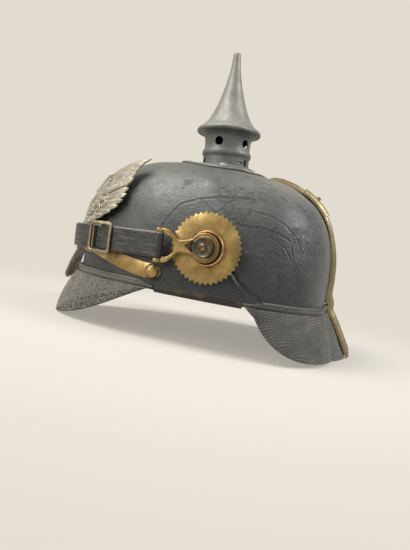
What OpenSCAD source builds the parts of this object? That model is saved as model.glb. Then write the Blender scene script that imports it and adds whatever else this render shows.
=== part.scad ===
// Spiked leather helmet, standing on the lower edges of its two visors.
// +Z is up, +X is the wearer's left, the front looks along -Y. Millimetres.

/* [Skull] */
// Height of the skull's lower edge above the table
skull_edge_z = 36; // [33:0.5:40]
// Half of the skull's greatest width
skull_half_w = 88; // [84:0.5:92]
// From the widest line forward to the brow
skull_front_len = 149.5; // [144:0.5:154]
// From the widest line back to the nape
skull_rear_len = 60.5; // [57:0.5:66]
// How far the widest line lies behind the middle of the table mark
widest_y = 39; // [35:0.5:43]
// Height of the skull from its lower edge to the crown
skull_h = 104.7; // [100:0.5:110]
// Thickness of the leather skull
skull_wall = 2.5; // [2:0.1:3.2]
// Roundness of the plan, where 2 is an ellipse
plan_power = 2.08; // [2:0.02:2.2]
// Roundness of the sides seen from the front
side_power = 2.6; // [2.4:0.05:2.9]
// Roundness of the brow seen from the side
front_power = 3; // [2.7:0.05:3.3]
// Roundness of the nape seen from the side
rear_power = 3.4; // [3.1:0.05:3.6]
// How far the crown lies in front of the spike's foot
crown_shift = 6; // [3:0.5:8]
// How far the crown dips behind the spike's plate
crown_dip = 2.4; // [0:0.2:4]
// How far the back is drawn in on both sides of the nape
nape_tuck = 3; // [0:0.2:4]
// Radius of the air hole in the crown
crown_hole_r = 10; // [7:0.5:12]

/* [Visors] */
// Thickness of the visor leather
visor_wall = 2.4; // [2:0.1:3]
// Height of the sewn flange above the visor's bend
flange_h = 4; // [3:0.5:5]
// How far the front visor stands out from the brow
front_reach = 14.5; // [12:0.5:18]
// Half angle of the front visor round the plan
front_half_angle = 61; // [56:1:66]
// How far the rear visor stands out from the nape
rear_reach = 23; // [20:0.5:26]
// How far its sides stand out from the neck
rear_side_reach = 9.5; // [7:0.5:12]
// How far the front visor's ends stand out from the temples
front_side_reach = 8; // [5:0.5:12]
// Half angle of the rear visor round the plan
rear_half_angle = 93; // [88:1:96]
// Thickness of the folded rim binding
binding_wall = 1.3; // [1:0.1:1.6]
// Height of the folded rim binding
binding_h = 8.2; // [7:0.2:10]

/* [Spike] */
// Middle of the spike's foot, front to back
foot_y = -3.5; // [-6:0.5:-1]
// Height of the spike's seat above the top of the crown
seat_rise = 2.3; // [1.5:0.1:7]
// Forward lean of the spike in degrees
lean = 3.6; // [2:0.1:5]
// Height of the spike above its seat
spike_h = 97.2; // [85:0.1:110]
// Radius of the blunt tip
tip_r = 3.2; // [2.5:0.1:4]
// Radius that the long cone gains from tip to flange
cone_r = 17.5; // [15:0.5:19]
// Radius that the foot of the cone flares out by
flare_r = 5.6; // [4:0.2:7]
// Height of the underside of the flange
flange_z = 24.4; // [22:0.2:28]
// Height of the flange's rolled lip
rim_h = 3.6; // [3:0.2:5]
// How far the flange's lip stands above the neck
lip_rise = 3; // [2:0.2:4]
// Radius of the round plate under the spike
plate_r = 37.5; // [35:0.5:40]
// Thickness of the sheet metal of plate and spike
sheet_t = 1.1; // [0.8:0.1:1.4]
// Outer radius of the collar on the plate
collar_r = 19.6; // [18:0.1:21]
// Height of the collar on the plate
collar_h = 6; // [5:0.5:8]
// Running clearance between neck and collar
twist_gap = 0.06; // [0.03:0.01:0.1]
// Number of air holes in the neck
vent_count = 5; // [4:1:6]
// Radius of an air hole in the neck
vent_r = 3.6; // [3:0.1:4]
// How far a bayonet lug turns in its slot, in degrees
twist_angle = 22; // [16:1:28]
// Radius of a bayonet lug
lug_r = 1.3; // [1:0.1:1.6]
// Distance of the plate's studs from its middle
stud_pitch_r = 31; // [29:0.5:33]
// Radius of a plate stud's head
stud_head_r = 3.6; // [3:0.1:4]
// Radius of a plate stud's shank
stud_shank_r = 1.9; // [1.5:0.1:2.2]

/* [Rear spine] */
// Width of the rear spine
spine_w = 13; // [11:0.5:15]
// Height of the spine's arch
spine_rise = 4.6; // [3.5:0.1:5.5]
// Thickness of the spine's brass
brass_t = 1; // [0.7:0.1:1.3]
// Length of the air slider in degrees of the arc that it runs on
slider_arc = 28; // [24:1:30]
// How far the air slider travels in degrees of that arc
slider_travel = 13; // [8:1:14]
// Length of the air slot in degrees of that arc
air_slot_arc = 16; // [12:1:20]
// Width of the air slot
air_slot_w = 5; // [4:0.5:6]

/* [Side fittings] */
// Height of the side posts above the skull's lower edge
post_h = 36.2; // [33:0.5:40]
// Middle of the side posts, front to back
post_y = -3; // [-7:0.5:1]
// How far the side posts turn towards the front, in degrees
post_yaw = 12; // [10:0.5:14]
// Radius of the post's neck
post_neck_r = 4.8; // [4:0.1:5.2]
// Radius of the post's head
post_head_r = 7.3; // [6.9:0.1:8]
// Room along the neck for the strap's eye
post_neck_len = 6.6; // [6:0.2:8]
// Radius of the cockade to the tips of its teeth
cockade_r = 26.2; // [24:0.2:28]
// Depth of the cockade's teeth
tooth_h = 2; // [1.4:0.1:2.4]
// Number of teeth round the cockade
tooth_count = 40; // [32:2:48]

/* [Chin strap] */
// Width of the chin strap
strap_w = 18.5; // [16:0.5:20]
// Thickness of one layer of strap
strap_t = 1.8; // [1.5:0.1:2]
// Radius of the strap's bend in front of the brow
strap_bend_r = 95; // [85:1:110]
// Length of the strap's straight leg on each side
leg_len = 57; // [54:0.5:60]
// Angle between the leg and the front-to-back line
leg_turn = 25; // [23:0.5:27]
// Air between the skull's brow and the strap
brow_air = 7.2; // [6.6:0.2:9]
// Dip of the strap's front below the posts in degrees
strap_dip = 2.2; // [0:0.2:4]
// How far the strap's middle lies below the post
strap_drop = 2; // [0:0.5:4]
// From the post to the hook's bar
hook_len = 34.3; // [31:0.1:38]
// Outer radius of the hook's eye
eye_r = 12.4; // [11.5:0.1:13]
// Inner radius of the hook's eye
eye_hole_r = 6.6; // [6.3:0.1:6.8]
// Thickness of the hook
hook_t = 1.6; // [1.2:0.1:2]
// Radius of the hook's bar
bar_r = 1.3; // [1:0.1:1.6]
// Radius of the curled ends of the hook's fork
curl_r = 3; // [2.4:0.1:3.4]
// Length of a buckle along the strap
buckle_len = 21; // [18:0.5:23]
// Width of a buckle's bars
buckle_bar = 2.7; // [2:0.1:3]
// Thickness of a buckle's frame
buckle_t = 1.8; // [1.4:0.1:2.2]
// Thickness of the buckle's bar behind the strap
buckle_back_t = 1.3; // [1:0.1:1.6]
// From the end of the leg back to the buckle's middle
buckle_back = 5.4; // [4:0.2:8]
// How far a buckle slides along the strap
buckle_travel = 24; // [15:1:26]

/* [Front plate and brow band] */
// Air between the skull and the back of the front plate
plate_air = 2.8; // [2:0.1:3.2]
// Thickness of the front plate
eagle_t = 1.3; // [1:0.1:1.6]
// How far the eagle's breast stands out from its wings
breast_rise = 3.6; // [2:0.2:4]
// How far the wing tips lift off the crown
tip_lift = 4.6; // [3:0.2:6]
// Width of the brow band
band_w = 11; // [9:0.5:12]
// Radius of the brow band's rivet heads
rivet_r = 5.5; // [4:0.1:5.8]

/* [Lining] */
// Thickness of the lining leather
lining_t = 1.4; // [1:0.1:1.8]
// Height of the sweatband
sweatband_h = 30; // [24:1:36]
// Number of lining tongues
tongue_count = 10; // [8:1:12]

/* [Hidden] */

// Clearance between neighbouring curved faces
gap = 0.3;
// Clearance round a fastener's shank
shank_gap = 0.15;
// Steps round the skull and up its side
round_steps = 60;
rise_steps = 14;
// Part of the crown that the last ring of the skull leaves open
crown_rest = 0.05;

function signed_pow(v, p) = sign(v) * pow(abs(v), p);
function mix(a, b, t) = a + (b - a) * t;
function clamp01(t) = min(1, max(0, t));
function smooth(t) = let(c = clamp01(t)) c * c * (3 - 2 * c);
function steps(n) = [for (i = [0:n]) i / n];

// The plan of the skull at parameter angle f, grown outwards by off
function tuck(f) = nape_tuck * exp(-pow((atan2(abs(cos(f)), sin(f)) - 19) / 9, 2));
function plan_x(f, off) = (skull_half_w + off - tuck(f)) * signed_pow(cos(f), 2 / plan_power);
function plan_len(s, off) = (s < 0 ? skull_front_len : skull_rear_len) + off;
function plan_y(f, off) = widest_y + plan_len(sin(f), off - tuck(f)) * signed_pow(sin(f), 2 / plan_power);

// The side curve is a superellipse whose power changes round the plan
function wall_power(s2, s) = mix(side_power, s < 0 ? front_power : rear_power, s2);
function crown_y(k) = foot_y - crown_shift * pow(k, 4);
// The dip is deepest a third of the way from the crown to the nape
function dip(s, sin_f) = crown_dip * max(0, sin_f) * s * s * pow(1 - s, 4) / 0.022;
function skull_at(f, k, s, off) =
    [s * plan_x(f, off), crown_y(k) + s * (plan_y(f, off) - foot_y),
     skull_edge_z + k * (skull_h + off) - dip(s, sin(f))];
function skull_uv(f, v, off) =
    let(n = wall_power(pow(sin(f), 2), sin(f)))
    skull_at(f, pow(sin(90 * v), 2 / n), pow(cos(90 * v), 2 / n), off);
function skull_pt(f, z, off) =
    let(n = wall_power(pow(sin(f), 2), sin(f)), k = clamp01((z - skull_edge_z) / (skull_h + off)))
    let(p = skull_at(f, k, pow(1 - pow(k, n), 1 / n), off))
    [p[0], p[1], z];

// Height of the crown over a point of the table, found by halving
function plan_value(x, y, off) =
    let(b = plan_len(y - widest_y, off))
    pow(abs(x) / (skull_half_w + off), plan_power) + pow(abs(y - widest_y) / b, plan_power);
function ring_value(x, y, k, off) =
    let(s0 = pow(1 - pow(k, 3), 1 / 3), y0 = (y - crown_y(k)) / s0 + foot_y)
    let(s2 = clamp01(pow(abs(y0 - widest_y) / plan_len(y0 - widest_y, off), plan_power)))
    let(n = wall_power(s2, y0 - widest_y), s = pow(1 - pow(k, n), 1 / n))
    plan_value(x / s, (y - crown_y(k)) / s + foot_y, off);
function crown_k(x, y, off, lo = 0, hi = 0.9999, i = 18) =
    i == 0 ? (lo + hi) / 2 :
    ring_value(x, y, (lo + hi) / 2, off) < 1 ?
        crown_k(x, y, off, (lo + hi) / 2, hi, i - 1) : crown_k(x, y, off, lo, (lo + hi) / 2, i - 1);
function crown_z(x, y, off) =
    let(k = crown_k(x, y, off), s0 = pow(1 - pow(k, 3), 1 / 3), y0 = (y - crown_y(k)) / s0 + foot_y - widest_y)
    let(sin_f = signed_pow(max(-1, min(1, y0 / plan_len(y0, off))), plan_power / 2))
    let(n = wall_power(sin_f * sin_f, sin_f), s = pow(1 - pow(k, n), 1 / n))
    skull_edge_z + k * (skull_h + off) - dip(s, sin_f);

// A closed solid between two grids of points; a ring joins its first and last columns
module sheet(outer, inner, ring = false) {
    rows = len(outer);
    cols = len(outer[0]);
    half = rows * cols;
    last = ring ? cols - 1 : cols - 2;
    function at(r, c, side) = side * half + r * cols + (c % cols);
    skin = [for (r = [0:rows - 2]) for (c = [0:last])
        [at(r, c, 0), at(r + 1, c, 0), at(r + 1, c + 1, 0), at(r, c + 1, 0),
         at(r, c, 1), at(r + 1, c, 1), at(r + 1, c + 1, 1), at(r, c + 1, 1)]];
    foot = [for (c = [0:last]) [at(0, c, 0), at(0, c + 1, 0), at(0, c + 1, 1), at(0, c, 1)]];
    head = [for (c = [0:last])
        [at(rows - 1, c + 1, 0), at(rows - 1, c, 0), at(rows - 1, c, 1), at(rows - 1, c + 1, 1)]];
    near = ring ? [] : [for (r = [0:rows - 2]) [at(r + 1, 0, 0), at(r, 0, 0), at(r, 0, 1), at(r + 1, 0, 1)]];
    far = ring ? [] : [for (r = [0:rows - 2])
        [at(r, cols - 1, 0), at(r + 1, cols - 1, 0), at(r + 1, cols - 1, 1), at(r, cols - 1, 1)]];
    faces = concat(
        [for (q = skin) [q[0], q[1], q[2]]], [for (q = skin) [q[0], q[2], q[3]]],
        [for (q = skin) [q[4], q[6], q[5]]], [for (q = skin) [q[4], q[7], q[6]]],
        [for (q = concat(foot, head, near, far)) [q[0], q[1], q[2]]],
        [for (q = concat(foot, head, near, far)) [q[0], q[2], q[3]]]);
    points = concat([for (r = outer) for (p = r) p], [for (r = inner) for (p = r) p]);
    polyhedron(points = points, faces = faces, convexity = 8);
}

module both_sides() {
    children();
    mirror([1, 0, 0]) children();
}

// The skull and its holes
function skull_rows(off) =
    let(v_end = acos(pow(crown_rest, side_power / 2)) / 90)
    [for (v = steps(rise_steps)) [for (i = [0:round_steps - 1]) skull_uv(360 * i / round_steps, v * v_end, off)]];

module skull() {
    color([0.25, 0.26, 0.25]) difference() {
        sheet(skull_rows(0), skull_rows(-skull_wall), ring = true);
        translate([0, foot_y, skull_edge_z + skull_h / 2]) rotate(10) cylinder(r = crown_hole_r, h = skull_h, $fn = 48);
        for (a = [0:90:270]) stud_place(a) translate([0, 0, -20]) rotate(10) cylinder(r = stud_shank_r + shank_gap, h = 40, $fn = 24);
        both_sides() post_place() translate([0, 0, -14]) cylinder(r = post_shank_r + shank_gap, h = 24, $fn = 24);
        both_sides() rivet_place() translate([0, 0, -8]) cylinder(r = rivet_shank_r + shank_gap, h = 16, $fn = 24);
        both_sides() eagle_stud_place() translate([0, 0, -8]) cylinder(r = eagle_stud_r + shank_gap, h = 16, $fn = 24);
        prong_place(prong_nape) translate([0, 0, -8]) cylinder(r = prong_r + shank_gap, h = 11, $fn = 24);
        air_slot_cut();
    }
}

// The visors hang from the skull's edge: u runs from -1 to 1 round the plan
seam_top_z = skull_edge_z + 6;
seam_z = seam_top_z - flange_h;
visor_off = gap + visor_wall;
// How far below the table the sheet would reach, which is cut off level
visor_over = 0.8;

function visor_fall(u, power, round) = pow(1 - pow(abs(u), power), round);
function front_fall(u) = visor_fall(u, 2.6, 1.25);
function rear_fall(u) = visor_fall(u, 6, 0.9) * (1 - 0.065 * smooth(abs(u) / 0.4));
function plan_normal(f) =
    let(d = [plan_x(f + 1, 0) - plan_x(f - 1, 0), plan_y(f + 1, 0) - plan_y(f - 1, 0)])
    [d[1], -d[0]] / norm(d);
function front_out(u) = mix(front_reach, front_side_reach, smooth(abs(u) / 0.8));
// The rear visor's flare is tightest at the nape
function rear_out(u) = mix(rear_side_reach, rear_reach, exp((0.03 - norm([u, 0.03])) / 0.13));
// t runs from 0 at the seam to 1 at the free edge; bow lifts the middle of the sheet outwards
function visor_pt(f, t, fall, reach, bow, off) =
    let(p = skull_pt(f, seam_z, off), n = plan_normal(f), out = reach * fall * (t + bow * t * (1 - t)))
    [p[0] + n[0] * out, p[1] + n[1] * out, max(0, seam_z - (seam_z + visor_over) * fall * t)];
function visor_column(f, fall, reach, bow, off) =
    concat([for (t = [1, 0.8, 0.6, 0.4, 0.2, 0]) visor_pt(f, t, fall, reach, bow, off)],
        [skull_pt(f, seam_top_z, off)]);
function flip(grid) = [for (r = [0:len(grid[0]) - 1]) [for (c = [0:len(grid) - 1]) grid[c][r]]];
function front_grid(off) = flip([for (t = steps(visor_steps)) let(u = 2 * t - 1)
    visor_column(-90 + front_half_angle * u, max(0.02, front_fall(u)), front_out(u), front_bow, off)]);
function rear_grid(off) = flip([for (t = steps(visor_steps + 8)) let(u = 2 * t - 1)
    visor_column(90 + rear_half_angle * u, max(0.02, rear_fall(u)), rear_out(u), rear_bow, off)]);

front_bow = 0.8;
rear_bow = 0.1;
visor_steps = 32;
module front_visor() {
    color([0.3, 0.3, 0.28]) sheet(front_grid(visor_off), front_grid(gap));
}
module rear_visor() {
    color([0.3, 0.3, 0.28]) difference() {
        sheet(rear_grid(visor_off), rear_grid(gap));
        prong_place(prong_flap) translate([0, 0, -8]) cylinder(r = prong_r + shank_gap, h = 11, $fn = 24);
    }
}

// The rim binding folds round the skull's edge between the visors
binding_front = -90 + front_half_angle;
binding_rear = 90 - rear_half_angle;
binding_lap = 1.5;
module rim_binding() {
    z_low = skull_edge_z - gap - binding_wall;
    z_top = z_low + binding_h;
    out = gap + binding_wall;
    into = -skull_wall - gap - binding_wall;
    angles = [for (t = steps(14)) mix(binding_front + binding_lap, binding_rear - binding_lap, t)];
    function low(f, off) = let(p = skull_pt(f, skull_edge_z, off)) [p[0], p[1], z_low];
    function low2(f, off) = let(p = skull_pt(f, skull_edge_z, off)) [p[0], p[1], skull_edge_z - gap];
    color([0.45, 0.42, 0.33]) both_sides() sheet(
        flip([for (f = angles) [skull_pt(f, z_top, into), skull_pt(f, skull_edge_z, into), low(f, into + 0.6),
            low(f, out - 0.6), skull_pt(f, skull_edge_z, out), skull_pt(f, z_top, out)]]),
        flip([for (f = angles) [skull_pt(f, z_top, into + binding_wall), skull_pt(f, skull_edge_z + 1, into + binding_wall),
            low2(f, into + binding_wall), low2(f, out - binding_wall),
            skull_pt(f, skull_edge_z + 1, out - binding_wall), skull_pt(f, z_top, out - binding_wall)]]));
}

// Lining: a sweatband inside the edge and tongues that rise from it
band_in = skull_wall + 2 * gap + binding_wall;
module sweatband() {
    function row(z, off) = [for (i = [0:round_steps - 1]) skull_pt(360 * i / round_steps, z, off)];
    z0 = skull_edge_z + gap;
    color([0.42, 0.31, 0.2]) sheet(
        [row(z0, -band_in), row(z0 + sweatband_h / 2, -band_in - 1.5), row(z0 + sweatband_h, -band_in - 3)],
        [row(z0, -band_in - lining_t), row(z0 + sweatband_h / 2, -band_in - 1.5 - lining_t),
         row(z0 + sweatband_h, -band_in - 3 - lining_t)], ring = true);
}
tongue_lap = 8;
tongue_end_v = 0.66;
module lining_tongues() {
    z0 = skull_edge_z + gap + sweatband_h - tongue_lap;
    off0 = -band_in - 3 - lining_t - gap;
    half = 180 / tongue_count - 2.5;
    // Height parameter at which the skull reaches z0 for a side curve of middling power
    v0 = asin(pow((z0 - skull_edge_z) / skull_h, 1.45)) / 90;
    function tongue_pt(f, t, off) = skull_uv(f, mix(v0, tongue_end_v, t), off - 5 * t * t);
    for (k = [0:tongue_count - 1]) {
        mid = 360 * (k + 0.5) / tongue_count;
        color([0.45, 0.34, 0.22]) sheet(
            [for (t = steps(6)) [for (u = steps(4)) tongue_pt(mid + half * (2 * u - 1) * (1 - 0.45 * t * t), t, off0)]],
            [for (t = steps(6)) [for (u = steps(4))
                tongue_pt(mid + half * (2 * u - 1) * (1 - 0.45 * t * t), t, off0 - lining_t)]]);
    }
}

// The round plate follows the crown and carries a tilted seat for the collar
seat_z = skull_edge_z + skull_h + seat_rise;
seat_r = collar_r + 1.2;
module spike_frame() {
    translate([0, foot_y, seat_z]) rotate([lean, 0, 0]) children();
}
function seat_plane(y) = seat_z + tan(lean) * (y - foot_y);
function plate_top(r, a) =
    let(x = r * cos(a), y = foot_y + r * sin(a))
    [x, y, mix(seat_plane(y) - gap / 3, crown_z(x, y, gap) + sheet_t, smooth((r - seat_r) / (plate_r - seat_r - 4)))];
module base_plate() {
    radii = [crown_hole_r, seat_r, mix(seat_r, plate_r, 0.25), mix(seat_r, plate_r, 0.5), mix(seat_r, plate_r, 0.75), plate_r];
    steps_round = 40;
    function row(r, drop) = [for (i = [0:steps_round - 1]) plate_top(r, -360 * i / steps_round) - [0, 0, drop]];
    color([0.45, 0.47, 0.47]) difference() {
        sheet([for (r = radii) row(r, 0)], [for (r = radii) row(r, sheet_t)], ring = true);
        for (a = [0:90:270]) stud_place(a) translate([0, 0, -20]) rotate(10) cylinder(r = stud_shank_r + shank_gap, h = 40, $fn = 24);
    }
}

// Studs hold the plate at its front, back and sides
module stud_place(a) {
    p = plate_top(stud_pitch_r, a);
    fall = plate_top(stud_pitch_r - 3, a)[2] - plate_top(stud_pitch_r + 3, a)[2];
    translate(p) rotate([0, 0, a]) rotate([0, atan(fall / 6), 0]) children();
}
stud_head_h = 2;
stud_len = 9.2;
nut_h = 2.2;
module plate_studs() {
    color([0.5, 0.52, 0.52]) for (a = [0:90:270]) stud_place(a) {
        translate([0, 0, 0.6]) intersection() {
            cylinder(r = stud_head_r, h = stud_head_h, $fn = 32);
            translate([0, 0, stud_head_h - 4.5]) sphere(r = 4.5, $fn = 32);
        }
        translate([0, 0, -stud_len]) cylinder(r = stud_shank_r, h = stud_len + 1, $fn = 24);
    }
}
module plate_stud_nuts() {
    drop = sheet_t + gap + skull_wall + 2.3;
    color([0.35, 0.35, 0.33]) for (a = [0:90:270]) stud_place(a)
        translate([0, 0, -drop - nut_h]) difference() {
            cylinder(r = 4, h = nut_h, $fn = 6);
            translate([0, 0, -1]) cylinder(r = stud_shank_r + 0.05, h = nut_h + 2, $fn = 24);
        }
}

// Collar with bayonet slots, fixed to the plate
sleeve_r = collar_r - 1.5;
slot_z = 0.6;
slot_h = 2 * lug_r + 0.6;
slot_az = 35;
module spike_collar() {
    spike_frame() color([0.42, 0.44, 0.44]) difference() {
        cylinder(r = collar_r, h = collar_h, $fn = 72);
        translate([0, 0, -1]) cylinder(r = sleeve_r + twist_gap, h = collar_h + 2, $fn = 72);
        for (k = [0:2]) rotate(slot_az + 120 * k) {
            translate([0, 0, slot_z]) rotate(-slot_side_angle)
                rotate_extrude(angle = twist_angle + 2 * slot_side_angle, $fn = 72)
                translate([sleeve_r - 1, 0]) square([4, slot_h]);
            rotate(twist_angle) translate([sleeve_r - 1, -lug_r - 0.3, slot_z]) cube([4, 2 * lug_r + 0.6, collar_h]);
        }
    }
}
slot_side_angle = asin((lug_r + 0.3) / sleeve_r);

// Vented neck, which turns in the collar and carries the point
neck_top_r = 20.2;
neck_low_r = 19.3;
bead_r = 20.2;
bead_z = 11;
vent_z = 18.9;
vent_az = -20;
module spike_neck() {
    top = flange_z - 0.05;
    low = collar_h + 0.1;
    spike_frame() color([0.45, 0.47, 0.47]) difference() {
        rotate_extrude($fn = 72) polygon([
            [sleeve_r - sheet_t, 0.4], [sleeve_r, 0.4], [sleeve_r, low], [collar_r, low], [collar_r, bead_z - 1.2],
            [bead_r - 0.3, bead_z - 0.7], [bead_r, bead_z], [bead_r - 0.3, bead_z + 0.7], [neck_low_r, bead_z + 1.4],
            [neck_low_r + 0.1, bead_z + 5], [neck_top_r, top], [neck_top_r - sheet_t, top],
            [neck_low_r - sheet_t, bead_z + 2], [sleeve_r - sheet_t, low + 1]]);
        for (k = [0:vent_count - 1]) rotate(vent_az + 360 * k / vent_count)
            translate([neck_low_r - 4, 0, vent_z]) rotate([0, 90, 0]) cylinder(r = vent_r, h = 8, $fn = 32);
        for (k = [0:2]) rotate(slot_az + 120 * k)
            translate([sleeve_r - 4, 0, slot_z + slot_h / 2]) rotate([0, 90, 0]) cylinder(r = lug_r, h = 8, $fn = 24);
    }
}
module bayonet_lugs() {
    spike_frame() color([0.5, 0.5, 0.48]) for (k = [0:2]) rotate(slot_az + 120 * k)
        translate([sleeve_r - sheet_t - 0.6, 0, slot_z + slot_h / 2]) rotate([0, 90, 0])
            cylinder(r = lug_r, h = collar_r - sleeve_r + sheet_t + 0.2, $fn = 24);
}

// Hollow point: a long concave cone that flares into a rounded flange
function cone_radius(f) = tip_r + cone_r * pow(f, 1.7) + flare_r * pow(f, 14);
module spike_point() {
    rim_r = cone_radius(1) + 0.9;
    lip_z = flange_z + lip_rise;
    foot_z = lip_z + rim_h + 0.4;
    outer = [for (t = steps(26)) let(f = pow(t, 0.75)) [cone_radius(f), mix(spike_h - 1.2, foot_z, f)]];
    rim = [for (a = [60:-30:-90]) [rim_r + rim_h / 3 * (cos(a) - 1), lip_z + rim_h / 2 * (1 + sin(a))]];
    under = [for (t = [0.35, 0.7, 1]) [mix(rim_r - rim_h / 3, neck_top_r + 0.3, t), lip_z - lip_rise * pow(t, 3)]];
    hollow = [for (t = [26:-1:2]) let(f = pow(t / 26, 0.75))
        [max(0.6, cone_radius(f) - 1.6 * sheet_t), mix(spike_h - 4, foot_z - 1.4, f)]];
    spike_frame() color([0.48, 0.5, 0.5]) rotate_extrude($fn = 72) polygon(concat(
        [[0, spike_h], [tip_r - 1.1, spike_h], [tip_r - 0.3, spike_h - 0.5]], outer, rim, under,
        [[neck_top_r - sheet_t, flange_z], [neck_top_r - sheet_t, flange_z + 1.3]],
        hollow, [[0, hollow[len(hollow) - 1][1] + 2]]));
}

// The spine's shoulder is an arc through three points of the skull's middle line
function mid_line(v) = let(p = skull_uv(90, v, 0)) [p[1], p[2]];
arc_a = mid_line(0.66);
arc_b = mid_line(0.47);
arc_c = mid_line(0.33);
function circle_middle(a, b, c) =
    let(d = 2 * (a[0] * (b[1] - c[1]) + b[0] * (c[1] - a[1]) + c[0] * (a[1] - b[1])))
    [((a * a) * (b[1] - c[1]) + (b * b) * (c[1] - a[1]) + (c * c) * (a[1] - b[1])) / d,
     ((a * a) * (c[0] - b[0]) + (b * b) * (a[0] - c[0]) + (c * c) * (b[0] - a[0])) / d];
arc_mid = circle_middle(arc_a, arc_b, arc_c);
spine_foot_r = norm(arc_a - arc_mid) + 0.9;
function polar(p) = atan2(p[1] - arc_mid[1], p[0] - arc_mid[0]);
arc_top = polar(arc_a);
arc_low = polar(arc_c);
function arc_pt(a) = arc_mid + spine_foot_r * [cos(a), sin(a)];

// Foot line of the spine from the plate's edge over the nape and down the visor
function nape_pt(z) = let(p = skull_pt(90, z, gap + 0.1)) [p[1], p[2]];
function flap_pt(t) = let(p = visor_pt(90, t, 1, rear_reach, rear_bow, visor_off + gap)) [p[1], p[2]];
spine_top_y = foot_y + plate_r + 2;
spine_line = concat(
    [for (t = steps(2)) let(y = mix(spine_top_y, arc_pt(arc_top)[0] - 5, t)) [y, crown_z(0, y, gap + 0.2)]],
    [for (t = steps(14)) arc_pt(mix(arc_top, arc_low, t))],
    [for (t = steps(4)) nape_pt(mix(arc_pt(arc_low)[1] - 8, seam_top_z + 9, t))],
    [let(p = skull_pt(90, seam_top_z + 1.5, visor_off + gap)) [p[1], p[2]]],
    [for (t = steps(6)) flap_pt(mix(0.02, 0.97, t))]);
function line_dir(i) =
    let(a = spine_line[max(0, i - 1)], b = spine_line[min(len(spine_line) - 1, i + 1)]) (b - a) / norm(b - a);
// Half-round section: s runs from -1 to 1 across the spine
function arch_pt(p, d, s, w, rise) =
    let(h = rise * pow(max(0, 1 - s * s), 0.45), n = [-d[1], d[0]])
    [s * w / 2, p[0] + n[0] * h, p[1] + n[1] * h];
function end_rise(i) = let(n = len(spine_line) - 1) i == 0 ? 0.4 : i == 1 ? 0.7 : i == n ? 0.7 : 1;
section = [-1, -0.92, -0.75, -0.5, -0.2, 0.2, 0.5, 0.75, 0.92, 1];
function arch_row(i, w, rise) =
    [for (s = section) arch_pt(spine_line[i], line_dir(i), s, w, rise * end_rise(i))];
module rear_spine() {
    n = len(spine_line) - 1;
    color([0.72, 0.58, 0.3]) difference() {
        sheet([for (i = [0:n]) arch_row(i, spine_w, spine_rise)],
            [for (i = [0:n]) arch_row(i, spine_w - 2 * brass_t, spine_rise - brass_t)]);
        air_slot_cut();
    }
}

// The slider covers the air slot and runs on the arc
slider_top = arc_top - 4;
slider_low = slider_top - slider_arc;
slider_t = 1;
module air_slot_cut() {
    mid = slider_top - slider_arc / 2;
    function at(r, side) = arc_mid + r * [cos(mid + side * air_slot_arc / 2), sin(mid + side * air_slot_arc / 2)];
    translate([-air_slot_w / 2, 0, 0]) rotate([90, 0, 90]) linear_extrude(height = air_slot_w)
        polygon([at(spine_foot_r - 12, -1), at(spine_foot_r + 12, -1), at(spine_foot_r + 12, 1), at(spine_foot_r - 12, 1)]);
}
module rotate_about_arc(a) {
    translate([0, arc_mid[0], arc_mid[1]]) rotate([a, 0, 0]) children();
}
module air_slider() {
    function row(a, w, rise) = [for (s = section) arch_pt(arc_pt(a), [sin(a), -cos(a)], s, w, rise)];
    w0 = spine_w + 2 * gap + 0.2;
    r0 = spine_rise + gap + 0.1;
    color([0.78, 0.64, 0.34]) sheet(
        [for (t = steps(8)) row(mix(slider_top, slider_low, t), w0 + 2 * slider_t, r0 + slider_t)],
        [for (t = steps(8)) row(mix(slider_top, slider_low, t), w0, r0)]);
}
module slider_knob() {
    base = spine_foot_r + (spine_rise + gap + 0.1 + slider_t) * pow(1 - 0.2 * 0.2, 0.45) + 0.02;
    color([0.78, 0.64, 0.34]) rotate_about_arc(slider_top - slider_arc * 0.45)
        translate([0, base, 0]) rotate([-90, 0, 0]) {
            cylinder(r = 1.9, h = 1.3, $fn = 32);
            translate([0, 0, 1.55]) sphere(r = 1.5, $fn = 24);
        }
}

// Prongs under the spine pass through skull and visor and hold it with washers inside
prong_r = 1.5;
prong_nape = 20;
prong_flap = 27;
module prong_place(k) {
    d = line_dir(k);
    translate([0, spine_line[k][0], spine_line[k][1]]) rotate([atan2(d[1], d[0]), 0, 0]) children();
}
module prong(leather) {
    washer = -gap - leather - 2 * gap;
    translate([0, 0, washer - 1.4]) cylinder(r = prong_r, h = spine_rise - brass_t - gap - washer + 1.4, $fn = 24);
    translate([0, 0, washer - 1]) cylinder(r = 3.4, h = 1, $fn = 32);
}
module spine_prongs() {
    color([0.72, 0.58, 0.3]) {
        prong_place(prong_nape) prong(skull_wall + 0.2);
        prong_place(prong_flap) prong(visor_wall + 0.4);
    }
}

// Front plate
eagle_stud_r = 1.5;
module eagle_stud_place() {
    f = -66;
    z = skull_edge_z + 58;
    p = skull_pt(f, z, 0);
    n = plan_normal(f);
    translate(p) rotate([0, 0, atan2(n[1], n[0])]) rotate([0, 90 - 20, 0]) children();
}
// The eagle in rows of height, inner and outer angle from the middle line
wing_rows = [[74, 0, 22], [78, 0, 26.5], [82, 0, 31], [88, 0, 35.5], [94, 0, 38], [100, 0, 39.5], [106, 5, 39.7],
    [112, 13, 40], [118, 21, 39.8], [124, 29, 40.2], [130, 36, 42], [133.5, 40, 42.6]];
breast_rows = [[60, 9, 0], [64, 8, 0.1], [70, 8.5, 0.15], [76, 11, 0.35], [80, 14, 0.7], [86, 16, 0.95], [92, 14, 1],
    [98, 9.5, 1], [103, 7.5, 1], [108, 7, 0.9], [113, 5, 0.7], [117, 2, 0.4]];
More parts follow.
